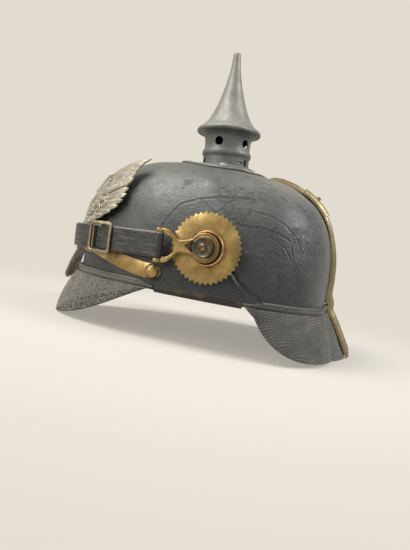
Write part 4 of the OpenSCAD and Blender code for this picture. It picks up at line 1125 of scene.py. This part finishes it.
def make_spike():
    """The hollow point: a long concave cone that flares into a thin rolled lip over the neck."""
    def radius(f):
        return TIP_R + CONE_R * f ** 1.7 + FLARE_R * f ** 14
    wall = 1.76
    lip_z = FLANGE_Z + LIP_RISE
    foot_z = lip_z + RIM_H + 0.4
    f = np.linspace(0, 1, 60) ** 0.75
    outer = np.stack([radius(f), mix(SPIKE_H - 1.2, foot_z, f)], -1)
    rim_r = radius(1.0) + 0.9
    around = np.radians(np.linspace(62, -90, 14))
    rim = np.stack([rim_r + RIM_H / 3 * (np.cos(around) - 1), lip_z + RIM_H / 2 * (1 + np.sin(around))], -1)
    t = np.linspace(0.12, 1, 12)
    under = np.stack([mix(rim_r - RIM_H / 3, 20.5, t), lip_z - LIP_RISE * t ** 3], -1)
    seat = [(19.1, FLANGE_Z), (19.1, FLANGE_Z + 1.3)]
    g = np.linspace(1, 0.12, 30) ** 0.75
    hollow = np.stack([np.maximum(0.6, radius(g) - wall), mix(SPIKE_H - 4, foot_z - 1.4, g)], -1)
    tip = [(r, SPIKE_H - down) for r, down in ((0, 0), (1.0, 0.05), (2.0, 0.25), (2.7, 0.6), (3.1, 1.0))]
    profile = np.concatenate([tip, outer, rim, under, seat, hollow, [(0, hollow[-1][1] + 1)]])
    obj = piece("spike_cone", placed(lathe(profile, 120), SPIKE_FRAME), GREY_STEEL, "spike",
                "spike_point", 50)
    # The lip's underside gets the darker copy of the steel: painted shade under the lip
    repaint(obj, SHADED_STEEL, lambda c, n: seen_from(SPIKE_FRAME, c)[2] < lip_z + 0.62 * RIM_H)


# Rear spine, which follows the skull's middle line. Its slider runs on the arc between two heights of the skull.

ARC_SPAN = (0.66, 0.33)


def middle_line(v):
    return skull_uv(np.float64(90), np.float64(v), 0)[1:]


def circle_middle(a, b, c):
    m = 2 * np.array([b - a, c - a])
    return np.linalg.solve(m, [b @ b - a @ a, c @ c - a @ a])


ARC_MID = circle_middle(*(middle_line(v) for v in (ARC_SPAN[0], 0.47, ARC_SPAN[1])))
ARC_R = np.linalg.norm(middle_line(ARC_SPAN[0]) - ARC_MID) + 0.9


def bearing(v):
    y, z = middle_line(v) - ARC_MID
    return math.degrees(math.atan2(z, y))


ARC_TOP, ARC_LOW = (bearing(v) for v in ARC_SPAN)
SLIDER_TOP = ARC_TOP - 4


def on_arc(a, off=0.0):
    a = np.radians(a)
    return ARC_MID + (ARC_R + off) * np.stack([np.cos(a), np.sin(a)], -1)


def air_slot():
    """The slot under the slider, as a closed wedge that cuts skull and spine."""
    half_arc, reach = 8.0, 12.0
    mid = SLIDER_TOP - SLIDER_ARC / 2
    corners = [on_arc(mid + s * half_arc, d * reach) for d, s in ((-1, -1), (1, -1), (1, 1), (-1, 1))]
    return loft([[(x, y, z) for y, z in corners] for x in (-SLOT_HALF_W, SLOT_HALF_W)])


def spine_line():
    """From the base plate over the crown, round the arc, down the nape and over the rear visor."""
    rear = np.float64(90)
    start = [(y, crown_height(np.zeros(1), np.array([y]), GAP + 0.2)[0])
             for y in np.linspace(FOOT_Y + PLATE_R + 2, on_arc(ARC_TOP)[0] - 5, 3)]
    bend = [on_arc(a) for a in np.linspace(ARC_TOP, ARC_LOW, 15)]
    nape = [skull_pt(rear, np.float64(z), GAP + 0.1)[1:] for z in np.linspace(on_arc(ARC_LOW)[1] - 8, 51, 5)]
    step = [skull_pt(rear, np.float64(SEAM_TOP_Z + 1.5), VISOR_OFF + GAP)[1:]]
    flap = [visor_pt(rear_shape, np.float64(0), np.float64(t), VISOR_OFF + GAP)[1:]
            for t in np.linspace(0.02, 0.97, 7)]
    return np.array([*start, *bend, *nape, *step, *flap])


def half_round(line, ahead, width, rise, dip=0.0):
    """Sections of a half-round rail over a line of the middle plane, its edges bent down by the dip."""
    s = np.sin(np.linspace(-np.pi / 2, np.pi / 2, 33))
    h = np.maximum(0, 1 - s * s) ** RAIL_POWER
    normal = np.stack([-ahead[:, 1], ahead[:, 0]], -1)
    rise, dip = (np.broadcast_to(v, len(line))[:, None] for v in (rise, dip))
    lift = h * rise - dip * smooth((np.abs(s) - 0.8) / 0.2)
    y, z = (line[:, i:i + 1] + normal[:, i:i + 1] * lift for i in (0, 1))
    return stack(s[None, :] * width / 2 + 0 * y, y, z)


def rail(line, ahead, width, rise, wall, dip=0.0, inner_rise=None):
    """A hollow half-round rail of sheet metal."""
    if inner_rise is None:
        inner_rise = rise
    outer = half_round(line, ahead, width, rise, dip)
    inner = half_round(line, ahead, width - 2 * wall, inner_rise, dip)
    return loft(np.concatenate([outer, inner[:, ::-1]], 1))


def make_rear_spine():
    line = curved(spine_line(), 6)
    at = np.linspace(0, 30, len(line))
    swell = np.interp(at, [0, 0.4, 1, 2, 3, 17.5, 20, 29, 30], [0.6, 1.0, 1.2, 1.2, 1, 1, 1.25, 1.25, 0.8])
    # The rail's edges are pressed down where it steps on to the rear visor
    dip = np.interp(line[:, 1], [38, 42.5, 44.5, 49.5, 52], [0, 0.3, 2.2, 0.5, 0]) * (line[:, 0] > 60)
    part = rail(line, direction(line), SPINE_W, SPINE_RISE * swell, BRASS_T, dip, (SPINE_RISE - BRASS_T) * swell)
    obj = piece("rear_spine_rail", part, SPINE_BRASS, "shell", "rear_spine")
    cut_away(obj, air_slot())


def make_air_slider():
    a = np.linspace(SLIDER_TOP, SLIDER_TOP - SLIDER_ARC, 57)
    ahead = np.stack([np.sin(np.radians(a)), -np.cos(np.radians(a))], -1)
    run = np.abs(np.linspace(-1, 1, 57))
    ribs = 0.55 * hill(run, 0.95, 0.035) + 0.35 * hill(run, 0.82, 0.03)
    part = rail(on_arc(a), ahead, SPINE_W + 2.8, COVER_RISE + ribs, BRASS_T, 0.0, COVER_RISE - BRASS_T)
    piece("air_slider_cover", part, SPINE_BRASS, "slider", "air_slider")
    # The button's foot meets the round cover a little below its top
    base = ARC_R + COVER_RISE * 0.96 ** RAIL_POWER + 0.02
    spot = SLIDER_TOP - SLIDER_ARC * 0.45
    stand = shift(0, *ARC_MID) @ turn(spot, "X") @ shift(0, base, 0) @ turn(-90, "X")
    profile = [(0, 0), (2.2, 0), (2.25, 0.25), (1.95, 0.5), (1.6, 0.75), (1.7, 1.0), (1.95, 1.3), (1.95, 1.7),
               (1.6, 2.1), (0.9, 2.3), (0, 2.35)]
    piece("slider_button", placed(lathe(profile, 32), stand), SPINE_BRASS, "slider", "slider_knob")


# Front plate: a generic eagle with raised wings, built feather by feather. Places on it are degrees from the
# middle line and height in millimetres.

MM_PER_DEGREE = 1.42


def on_plate(d, z, lift):
    """A point of the front plate's surface, with its lift above the skull. The wings' tips stand off."""
    stand_off, from_z, over = 4.6, 110, 24
    return skull_pt(-90 + d, z, lift + stand_off * smooth((np.asarray(z) - from_z) / over))


def on_tail(d, z, lift):
    """A point of the tail, which stands off in front of the visor."""
    heights = [28, 32, 38, 44, 50, 53.6, 55.6, 58.5, 62]
    stand_off = [13.9, 13.4, 12.2, 10.8, 8.8, 7.4, 6.4, 5, 4.4]
    p = skull_pt(-90 + d, np.full(np.shape(d), EDGE_Z + 0.001), np.interp(z, heights, stand_off) - 1.3 + lift)
    p[..., 2] = z
    return p


def feather(start, bend, end, width, lift, thick=1.2, surface=on_plate, tip=0.3, steps=26):
    """A leaf-shaped feather with a raised quill, along a bent line of the plate."""
    t = np.linspace(0, 1, steps)[:, None]
    a, b, c = (np.array(p, float) for p in (start, bend, end))
    mid = (1 - t) ** 2 * a + 2 * t * (1 - t) * b + t ** 2 * c
    way = 2 * (1 - t) * (b - a) + 2 * t * (c - b)
    k = np.clip((mid[:, 1:] - EDGE_Z) / SKULL_H, 0, 0.99)
    scale = MM_PER_DEGREE * (1 - k ** 3) ** (1 / 3)
    way_mm = np.concatenate([way[:, :1] * scale, way[:, 1:]], 1)
    way_mm /= np.linalg.norm(way_mm, axis=1)[:, None]
    across = np.stack([-way_mm[:, 1] / scale[:, 0], way_mm[:, 0]], -1)
    form = (0.55 + 0.45 * smooth(t / 0.35)) * np.clip(1 - ((t - 1 + tip) / tip) ** 2 * (t > 1 - tip), 0.01, 1) ** 0.6
    s = np.linspace(-1, 1, 9)[None, :]
    half = width / 2 * form
    d, z = (mid[:, i:i + 1] + across[:, i:i + 1] * half * s for i in (0, 1))
    crown = (1 - s * s) ** 0.5 * 0.55 + 0.35 * hill(s, 0, 0.16)
    barbs = np.sin(2 * np.pi * (t * np.linalg.norm(c - a) / 1.5 + np.abs(s) * 1.2)) * (np.abs(s) > 0.2)
    lifts = lift + 0.9 * t * smooth(t / 0.4)
    top = surface(d, z, lifts + (crown + 0.10 * barbs) * np.minimum(1, half / 2) + 0 * d)
    low = surface(d, z, lifts - thick + 0.25 + 0 * d)
    return loft(np.concatenate([top, low[:, ::-1]], 1))


def make_wing():
    """Long primaries above a raised arm, curled secondaries below it, small coverts along it, and spirals."""
    feathers = []
    primaries = [(42.4, 133.4), (41.6, 129), (40.9, 124.8), (40.4, 120.7), (40.1, 116.7), (39.9, 112.8)]
    for i, end in enumerate(primaries):
        k = i / (len(primaries) - 1)
        root, bend = (mix(3.0, 13.0, k), mix(103.5, 92, k)), (mix(21, 27, k), mix(115.5, 99, k))
        feathers.append(feather(root, bend, end, 6.0, 3.9 + 0.1 * i, tip=0.2))
    for i, (d, z) in enumerate([(22, 118.5), (24.5, 114.8), (26, 111), (27, 107)]):
        root = (4.5 + 2 * i, 103 - 3.2 * i)
        bend = (root[0] + 0.45 * (d - root[0]), root[1] + 0.5 * (z - root[1]) + 0.6)
        feathers.append(feather(root, bend, (d, z), 5.6, 4.75 + 0.05 * i, steps=20))
    secondaries = [(40.6, 108.0), (41.6, 103.0), (41.3, 97.8), (39.9, 92.8), (37.3, 88.2), (33.6, 84.1),
                   (29.0, 80.7), (23.6, 77.7), (18.0, 75.4)]
    for i, (d, z) in enumerate(secondaries):
        k = i / (len(secondaries) - 1)
        root = (mix(22, 7, k), mix(100, 80, k))
        bend = ((root[0] + d) / 2 + 4, (root[1] + z) / 2 - mix(4.5, 3.0, k))
        feathers.append(feather(root, bend, (d, z), 5.9, 4.75 + 0.04 * i, steps=20))
    for k in np.arange(7) / 6:
        root, end = (mix(20, 6, k), mix(99, 79, k)), (mix(31.5, 16, k), mix(97.5, 77.2, k))
        bend = ((root[0] + end[0]) / 2 + 1, (root[1] + end[1]) / 2 - 2.4)
        feathers.append(feather(root, bend, end, 5.2, 5.4, tip=0.5, steps=14))
    for d, z, size in ((27.5, 88.5, 5.2), (31.0, 92.5, 4.6), (22.5, 85.0, 4.6)):
        a = np.radians(np.linspace(200, -160, 30))
        reach = size * np.linspace(1.0, 0.18, 30)
        spiral = on_plate(d + reach * np.cos(a) / 1.25, z + reach * np.sin(a), 6.3)
        feathers.append(tube(spiral, np.linspace(0.85, 0.45, 30), 8))
    arm = np.array([(4, 86), (19, 95), (39, 110.3)])
    feathers.append(feather(*arm, 4.0, 5.5, 1.4, tip=0.25, steps=30))
    for t in np.arange(10) / 10:
        at = (1 - t) ** 2 * arm[0] + 2 * t * (1 - t) * arm[1] + t * t * arm[2]
        feathers.append(feather(at, at + [2.2, 4.8], at + [5.8, 7.6], 5.0, 5.3, tip=0.5, steps=12))
    return joined(*feathers)


def make_body():
    """The rounded body, in rows of small feathers."""
    t = np.linspace(0, 1, 40)[:, None]
    s = np.linspace(-1, 1, 25)[None, :]
    z = mix(60, 108, t) + 0 * s
    half = np.interp(t, [0, 0.08, 0.25, 0.45, 0.6, 0.8, 0.92, 1], [6.5, 8.5, 10, 15.5, 16, 9.5, 7.6, 7.2])
    swell = np.interp(t, [0, 0.2, 0.5, 0.7, 0.85, 1], [0.1, 0.3, 0.95, 1, 0.95, 0.9])
    d = half * s / MM_PER_DEGREE
    rows = 0.32 * np.sin(2 * np.pi * (t * 13 + 0.5 * np.cos(d * 2.0)))
    dome = 3.6 * swell * (1 - s * s) ** 0.7 + rows * (1 - s * s) ** 0.5
    d = d * 1.1
    return loft(np.concatenate([on_plate(d, z, 4.3 + dome), on_plate(d, z, 2.9 + 0 * d)[:, ::-1]], 1))


def make_head():
    """The head, which looks to the wearer's right, with a hooked beak and an eye."""
    line = curved([(0, 105), (-0.6, 110), (-2.2, 113.6), (-5.0, 114.4), (-8.2, 113.0), (-10.0, 110.2)], 6)
    half = np.interp(np.linspace(0, 1, len(line)), [0, 0.3, 0.5, 0.65, 0.8, 1], [7.2, 6.4, 6.8, 4.4, 2.6, 0.6])
    half = half[:, None] / 2
    a = np.linspace(0, 2 * np.pi, 25)[:-1][None, :]
    way = direction(line * [1.2, 1])
    d = line[:, :1] - way[:, 1:] * half * np.cos(a) / 1.15
    z = line[:, 1:] + way[:, :1] * half * np.cos(a)
    head = loft(on_plate(d, z, 6.2 + 0.84 * half * np.sin(a)))
    eye = lathe([(0, 0.9), (0.9, 0.7), (1.2, 0), (0.9, -0.6), (0, -0.6)], 16)
    spot = on_plate(np.float64(-3.2), np.float64(114.6), 9.1)
    return joined(head, placed(eye, shift(*spot) @ turn(50, "X")))


def make_tail_and_legs():
    feathers = []
    for d in (-7.2, -5.0, -2.6, 0, 2.6, 5.0, 7.2):
        ends = (d * 0.62, 63 - 0.05 * d * d), (d * 0.75, 48), (d * 1.05, 26.4 + 0.07 * d * d)
        feathers.append(feather(*ends, 5.2, 0.55 - 0.04 * abs(d), 0.9, on_tail, 0.18, 24))
    for d in (-4.2, -1.4, 1.4, 4.2):
        ends = (d, 64), (d, 58), (d * 1.25, 51 + 0.15 * d * d)
        feathers.append(feather(*ends, 5, 1.3, 0.9, on_tail, 0.5, 12))
    for side in (-1, 1):
        feathers.append(feather((side * 5, 76), (side * 11, 73), (side * 13, 66), 6, 4.9, 1.6, steps=14))
        for toe in (-1, 0, 1):
            ends = (side * 13, 67.5), (side * (13.5 + 1.2 * toe), 65), (side * (14 + 2.6 * toe), 61.5)
            feathers.append(feather(*ends, 1.9, 5.2, 1.4, tip=0.4, steps=10))
    return joined(*feathers)


def sunken(p):
    """From 0 to 1, how far the plate's points lie below the highest ones round them."""
    f = np.degrees(np.arctan2(p[:, 0], WIDEST_Y - p[:, 1]))
    cell = [1.6, 2.4]
    keys = [tuple(key) for key in np.round(np.stack([f, p[:, 2]], -1) / cell).astype(int).tolist()]
    out = np.hypot(p[:, 0] / HALF_W, (p[:, 1] - WIDEST_Y) / FRONT_LEN) * 118 + 0.75 * p[:, 2]
    highest = {}
    for key, value in zip(keys, out):
        highest[key] = max(highest.get(key, -math.inf), value)
    around = [(a, b) for a in (-1, 0, 1) for b in (-1, 0, 1)]
    top = np.array([max(highest.get((i + a, j + b), -math.inf) for a, b in around) for i, j in keys])
    return smooth((top - out - 3.0) / 2.4)


def make_eagle():
    wing = make_wing()
    part = joined(wing, mirrored(wing), make_body(), make_head(), make_tail_and_legs())
    obj = piece("eagle_plate", part, WHITE_METAL, "shell", "front_plate", 50)
    p = points_of(obj)
    dull = 0.35 * np.clip(0.5 + 1.4 * rough(p, 5, 21, 2), 0, 1)
    # Tarnish in patches, and painted shade where the plate lies below the feathers round it
    mark(obj, "grime_and_shade", np.maximum(dull, 0.7 * sunken(p)))


# Brow band and its rivets

RIVET_F, RIVET_Z = -30.3, 49.0


def make_brow_band():
    """A strip round the brow, higher in the middle, with round ends just past the rivets."""
    past, half_h, middle_rise = 3.0, 5.5, 10.4
    f = np.linspace(-180 - RIVET_F - past, RIVET_F + past, 200)[:, None]
    side = np.where(f < -90, -180 - f, f)
    mid_z = RIVET_Z + middle_rise * smooth((RIVET_F - side) / 34)
    end = np.clip((RIVET_F + past - side) / (past * 1.25), 0, 1)
    s = np.linspace(-1, 1, 15)[None, :]
    half = half_h * np.sqrt(1 - (1 - end) ** 2 * 0.985)
    outer = skull_pt(f, mid_z + half * s, 1.05 + 0.28 * (1 - s * s) ** 0.6 + 0 * f)
    inner = skull_pt(f, mid_z + half * s[:, ::-1], 0.35 + 0 * s + 0 * f)
    piece("brow_band_strip", loft(np.concatenate([outer, inner], 1)), BRASS, "shell", "brow_band")


def make_brow_rivets():
    """Dented domed rivets, with spots of dirt and painted shade in a ring round their feet."""
    nx, ny = plan_normal(np.float64(RIVET_F))
    root = skull_pt(np.float64(RIVET_F), np.float64(RIVET_Z), 0)
    stand = shift(*root) @ turn(math.degrees(math.atan2(ny, nx)), "Z") @ turn(90, "Y")
    dome = [(0, 5.3), (0.8, 5.5), (1.5, 5.3), (2.8, 4.95), (4.1, 4.2), (5.0, 3.3), (5.55, 2.4), (5.7, 1.8),
            (5.3, 1.65), (1.6, 1.65), (1.6, -4.9), (3, -4.9), (3, -5), (0, -5)]
    points, faces = placed(lathe(dome, 48), stand)
    rivet = points + 0.16 * rough(points, 2.2, 31, 2)[:, None] * np.array(stand)[:3, 2], faces
    obj = piece("brow_rivets", joined(rivet, mirrored(rivet)), BRASS, "shell", "brow_band_rivets")
    own = seen_from(stand, np.abs(points_of(obj) * [1, 0, 0]) + points_of(obj) * [0, 1, 1])
    # A ring of painted shade round each rivet's foot, and spots of dirt
    dirt_and_shade = hill(np.hypot(own[:, 0], own[:, 1]), 5.5, 0.8) + 0.45 * (rough(own, 2.4, 33, 2) > 0.1)
    mark(obj, "grime_and_shade", np.clip(dirt_and_shade, 0, 1))


# Rosettes, side posts, hooks and buckles, made for the left side

def make_rosette(side):
    disc = [(2.6, 1.15), (8, 1.15), (16, 1.1), (22, 1.1), (24.5, 1.15), (24.6, 1.4), (24.5, 1.75), (23.2, 2.05),
            (21, 2.4), (18, 2.62), (14.5, 2.6), (11, 2.35), (8, 2.1), (2.6, 2.05)]
    obj = new_object("rosette_" + side, mesh_of("rosette_" + side, lathe(disc, 80)))
    TEETH.grow(obj)
    obj.data.transform(Matrix.Scale(MM, 4) @ POST_FRAME @ Matrix.Scale(1 / MM, 4))
    if side == "right":
        obj.data.transform(Matrix.Diagonal((-1, 1, 1, 1)))
    settle(obj.data, 30)
    dress(obj, BRASS, "shell", "cockade_" + side)


def make_post(side):
    profile = [(0, -11), (2.4, -11), (2.4, 2.2), (4.8, 2.2), (4.8, 8.6), (5.2, 8.8), (7.0, 8.8), (7.3, 9.1),
               (7.3, 10.6), (7.1, 11.1), (6.6, 11.3), (6.1, 11.15), (5.7, 10.6), (5.2, 10.3), (3.3, 10.2),
               (2.9, 10.45), (2.5, 11.0), (1.6, 11.4), (0.8, 11.2), (0, 11.1)]
    washer = [(4.9, 2.64), (11.8, 2.64), (12.0, 2.74), (11.8, 2.84), (4.9, 2.84)]
    piece("post_washer_" + side, sided(placed(lathe(washer), POST_FRAME), side), BINDING, "shell")
    obj = piece("post_" + side, sided(placed(lathe(profile), POST_FRAME), side), POST_METAL, "shell",
                "side_post_" + side)
    nub_r, nub_z = 2.9, 10.15

    def on_nub(centre, normal):
        own = seen_from(POST_FRAME, sided((centre, None), side)[0])
        return own[2] > nub_z and np.hypot(own[0], own[1]) < nub_r
    repaint(obj, NUB, on_nub)


def hook_outline():
    """The hook's plate seen from outside, from its round eye on the post to the fork's two lobes."""
    upper = curved([(-8.9, 6.0), (-11.6, 4.8), (-15, 3.9), (-18.5, 3.6), (-21.5, 4.9), (-24.4, 7.4), (-26.8, 9.4),
                    (-29.4, 10.3), (-32.0, 10.3), (-34.6, 10.0)], 5)
    lower = upper * [1, -1] + np.interp(upper[:, :1], [-22, -9], [-4.0, 0]) * [0, 1]
    eye = arc(0, 0, 10.7, 146, -146, 64)
    loop_end = HOOK_LEN - (BAR_R + GAP + STRAP_T) - GAP
    rise = STRAP_W / 2 + GAP
    arch_x, arch_r = 30.2, 8.05
    back = math.degrees(math.asin((loop_end - arch_x) / arch_r))
    arch = arc(-arch_x, -STRAP_DROP, arch_r, 90 + back, -90 - back, 30)
    mouth = [(-34.9, rise), (-loop_end, rise)], [(-loop_end, -rise), (-34.9, -rise)]
    before, after = (np.array(ends) - [0, STRAP_DROP] for ends in mouth)
    return np.concatenate([eye[::-1], upper, before, arch, after, lower[::-1]])


def hook_border():
    """The raised border: along the upper arm, round the eye and back along the lower arm."""
    upper = curved([(-30.5, 9.2), (-28.0, 8.6), (-25.0, 6.4), (-21.8, 3.8), (-18.6, 2.5), (-15.2, 2.9),
                    (-11.8, 3.9)], 6)
    lower = upper * [1, -1] + np.interp(upper[:, :1], [-22, -11.8], [-3.6, 0]) * [0, 1]
    line = np.concatenate([upper, arc(0, 0, 9.75, 152, -152, 60), lower[::-1]])
    return tube(np.c_[line, np.full(len(line), 0.85)], 0.62, 8)


def make_hook(side):
    keyhole = np.array([(-14.4, 0.0), (-12.4, 1.5), (-9.0, 4.3), (-8.0, 3.8), (-7.7, 0.0), (-8.0, -3.8), (-9.0, -4.3),
                        (-12.4, -1.5)])
    eye_hole = arc(0, 0, 6.6, 0, 352.5, 48)
    body = plate([hook_outline(), eye_hole, keyhole], 1.6, 0.5)
    ring = tube(np.c_[arc(1.3, -0.2, 11.9, -138, 128, 60), np.full(60, -0.35)], 0.72, 10)
    fork_half = STRAP_W / 2 + 1.9
    bar = placed(lathe([(0, -fork_half), (BAR_R, -fork_half), (BAR_R, fork_half), (0, fork_half)], 24), LEG_FRAME)
    knob = lathe([(0, -1.5), (2.2, -1.5), (2.75, -1.2), (3.0, -0.5), (3.0, 0.5), (2.75, 1.2), (2.2, 1.5), (1.2, 1.35),
                  (0, 1.35)], 32)
    knobs = [placed(knob, LEG_FRAME @ shift(0, 0, s * (fork_half - 0.2))) for s in (-1, 1)]
    part = joined(placed(body, HOOK_FRAME), bar, *knobs, placed(hook_border(), HOOK_FRAME))
    piece("hook_" + side, sided(part, side), BRASS, "strap", "strap_hook_" + side)
    piece("hook_ring_" + side, sided(placed(ring, HOOK_FRAME), side), COPPER, "strap")


def make_buckle(side):
    """A frame in front of the strap, its second bar, and the loop that goes round the doubled leather."""
    w, t = STRAP_W + 2 * GAP, 2 * STRAP_T + 2 * GAP
    long, high = 21.0, w + 5.4
    middle = LEG_FRAME @ shift(DOUBLE_LEN, 0, 0)
    frame_plate = plate([rounded_box(long, high, 2.6), rounded_box(long - 4.6, w, 1.6)], 1.8, 0.5)
    rim = placed(frame_plate, middle @ turn(90, "X") @ shift(0, 0, -(t / 2 + 0.9)))
    bar_half = w / 2 + 0.8
    bar = placed(tube([(6.6, 0, -bar_half), (6.6, 0, bar_half)], 0.75), middle @ shift(0, t / 2 + 0.85, 0))
    out, back, tall = t / 2 + 0.4, -t / 2 - 1.3, high / 2 - 0.3
    line = np.array([(out, tall), (back, tall), (back, -tall), (out, -tall), (out, -w / 2), (-t / 2, -w / 2),
                     (-t / 2, w / 2), (out, w / 2)])
    loop = placed(plate([line], 5.4, 0.3), middle @ turn(90, "Z") @ turn(90, "X"))
    piece("buckle_frame_" + side, sided(joined(rim, bar, loop), side), BRONZE, "buckle_" + side[0],
          "buckle_" + side)


def strap_path():
    """The strap's middle line in its own plane: doubled legs, corner bends and the flat bend in front."""
    leg = np.array([math.cos(math.radians(LEG_A)), math.sin(math.radians(LEG_A))])
    out = np.array([-leg[1], leg[0]])
    side = STRAP_T / 2 + 0.03
    loop_r = BAR_R + GAP + STRAP_T / 2
    loop_clear = 3.4

    def at(along, off):
        return np.array(BAR) + along * leg + off * out
    outer = [at(t, side) for t in np.linspace(DOUBLE_LEN, loop_clear, 38)]
    loop = [at(x, y) for x, y in arc(0, 0, loop_r, 38, 322, 15)]
    inner = [at(t, mix(-side, 0, smooth((t - DOUBLE_LEN + 1) / 5.4)))
             for t in np.linspace(loop_clear, LEG_LEN - 0.6, 40)]
    corner = arc(*CORNER, 26)
    bend = arc(*FRONT_BEND, CORNER[-1], -90, 24)[1:]
    half = np.concatenate([outer, loop, inner, corner, bend])
    return np.concatenate([half, half[::-1][1:] * [-1, 1]])


def make_strap():
    path = strap_path()
    ahead = direction(path)
    out = np.stack([-ahead[:, 1], ahead[:, 0]], -1)
    run = run_along(path)[:, None]
    # Round the strap's section: its outer face, one edge, its inner face and the other edge
    across = np.concatenate([np.linspace(-1, 1, 21)[1:-1], [1], np.linspace(1, -1, 21)[1:-1], [-1]])
    face = np.concatenate([np.ones(19), [0], -np.ones(19), [0]])
    width = STRAP_W + 0.25 * np.sin(run / 9.0)
    z = across * (width / 2) * np.where(face == 0, 1.0, 0.985) - STRAP_DROP
    wrinkle = 0.16 * rough(stack(run + 0 * z, z, 0 * z) * [0.28, 1.5, 1], 3.0, 41, 3) * (np.abs(across) < 0.9)
    worn_edge = np.where(np.abs(across) > 0.93, 0.72, 1.0)
    thick = np.clip((STRAP_T / 2 * worn_edge + wrinkle) * face, -0.98, 0.98)
    p = path[:, None, :] + out[:, None, :] * thick[..., None]
    part = placed(loft(stack(p[..., 0], p[..., 1], z)), STRAP_FRAME)
    obj = piece("strap_leather_band", part, STRAP_LEATHER, "strap", "chin_strap")
    high = seen_from(STRAP_FRAME, points_of(obj))[:, 2]
    from_edge = np.maximum(STRAP_W / 2 - np.abs(high + STRAP_DROP), 0)
    # Pale along both edges, more on the upper one: wear, with painted highlight on the upper edge
    mark(obj, "edge", hill(from_edge, 0, 0.55) * np.where(high > 0, 1, 0.55))


def make_strap_stitches():
    """Two rows on each leg, along the doubled leather."""
    outwards = np.array(LEG_FRAME)[:3, 1]
    for k, s in enumerate((-1, 1)):
        line = [(x, STRAP_T + 0.05, s * (STRAP_W / 2 - 2.2)) for x in np.linspace(5, 44, 21)]
        at, along = spaced(placed((np.array(line), None), LEG_FRAME)[0], 3.6)
        for right, flip in enumerate(([1, 1, 1], [-1, 1, 1])):
            stitch_row("strap_stitches_%d%d" % (k, right), at * flip, along * flip, [outwards * flip] * len(at),
                       (2.3, 0.6, 0.4), "strap", 7 + k)


# Build

make_skull()
make_visor("front_visor_flap", "front_visor", front_shape, 341, front_ripples)
make_visor("rear_visor_flap", "rear_visor", rear_shape, 421, rear_ripples)
make_rim_binding()
make_sweatband()
make_tongues()
make_base_plate()
make_neck()
make_spike()
make_rear_spine()
make_air_slider()
make_eagle()
make_brow_band()
make_brow_rivets()
make_strap()
make_strap_stitches()
for side in ("left", "right"):
    for make_part in (make_rosette, make_post, make_hook, make_buckle):
        make_part(side)

# The collar takes the darker copy of the steel: painted shade under the spike's lip
KEPT = {
    "spike_collar": SHADED_STEEL, "bayonet_lugs": PLAIN_STEEL, "plate_studs": GREY_STEEL,
    "plate_stud_nuts": PLAIN_STEEL, "front_plate_studs": WHITE_METAL, "front_plate_nuts": PLAIN_STEEL,
    "spine_prongs": BRASS, "side_post_nuts": BRONZE,
}
for name, finish in KEPT.items():
    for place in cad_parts[name].material_slots:
        place.material = finish


# Studio: a pale floor that runs out into a background of the same colour

PAPER = tone(226, 220, 208)


def cleared(data):
    """The empty node tree of a material or a world, and a light path's outputs."""
    data.use_nodes = True
    data.node_tree.nodes.clear()
    return Nodes(data.node_tree), data.node_tree.nodes.new("ShaderNodeLightPath").outputs


def pale_floor():
    """Shows the background's colour to the camera and to glossy metal, with the helmet's soft shadow on it."""
    material = bpy.data.materials.new("pale floor")
    net, rays = cleared(material)
    # The floor throws less light back on the helmet than it shows
    feeds = {0: rays["Is Diffuse Ray"], 6: tone(208, 203, 193), 7: tone(112, 109, 103)}
    plain = net.add("ShaderNodeBsdfDiffuse", {"Color": net.add("ShaderNodeMix", feeds, 2, data_type="RGBA")})
    glow = net.add("ShaderNodeEmission", {"Color": PAPER})
    place = net.add("ShaderNodeTexCoord", output="Object")
    far = net.add("ShaderNodeVectorMath", {0: place}, "Value", operation="LENGTH")
    seen = net.most(rays["Is Camera Ray"], rays["Is Glossy Ray"])
    # Near the helmet about half of it is lit floor, and further out it is only the background's colour
    lit_out_to, plain_from, least = 0.12, 0.42, 0.45
    shown = net.times(seen, net.level(far, lit_out_to, plain_from, least, 1.0))
    net.add("ShaderNodeOutputMaterial", {"Surface": net.add("ShaderNodeMixShader", {0: shown, 1: plain, 2: glow})})
    return material


def make_floor():
    radius, below, corners = 8, 0.3 * MM, 96
    mesh = bpy.data.meshes.new("floor")
    rim = [(x, y, -below) for x, y in arc(0, 0, radius, 0, 360 - 360 / corners, corners)]
    mesh.from_pydata(rim, [], [list(range(corners))])
    mesh.materials.append(pale_floor())
    new_object("floor", mesh)


def make_world():
    """The background's colour to the camera, dimmer in glossy metal, and a cool even fill for the rest."""
    world = bpy.data.worlds.new("studio")
    bpy.context.scene.world = world
    net, rays = cleared(world)
    seen = net.add("ShaderNodeBackground", {"Color": PAPER})
    fill = net.add("ShaderNodeBackground", {"Color": (0.86, 0.88, 0.9, 1), "Strength": 0.36})
    direct = net.most(rays["Is Camera Ray"], rays["Is Transmission Ray"])
    share = net.most(direct, net.times(rays["Is Glossy Ray"], 0.55))
    net.add("ShaderNodeOutputWorld", {"Surface": net.add("ShaderNodeMixShader", {0: share, 1: fill, 2: seen})})


def make_lamps():
    aim = Vector((0, 0, 0.09))
    for name, place, power, colour in (
            ("key", (0.22, -0.58, 1.15), 16.5, (1.0, 0.98, 0.95)),
            ("front", (0.85, -1.1, 0.6), 7.5, (1.0, 0.98, 0.94)),
            ("rear", (0.2, 1.0, 0.95), 14, (0.93, 0.96, 1.0))):
        data = bpy.data.lights.new(name, "AREA")
        data.shape = "DISK"
        data.size = 0.8
        data.energy = power
        data.color = colour
        lamp = new_object(name, data)
        lamp.location = place
        lamp.rotation_mode = "QUATERNION"
        lamp.rotation_quaternion = (aim - Vector(place)).to_track_quat("-Z", "Y")


make_floor()
make_world()
make_lamps()
bpy.context.scene.view_settings.view_transform = "Standard"
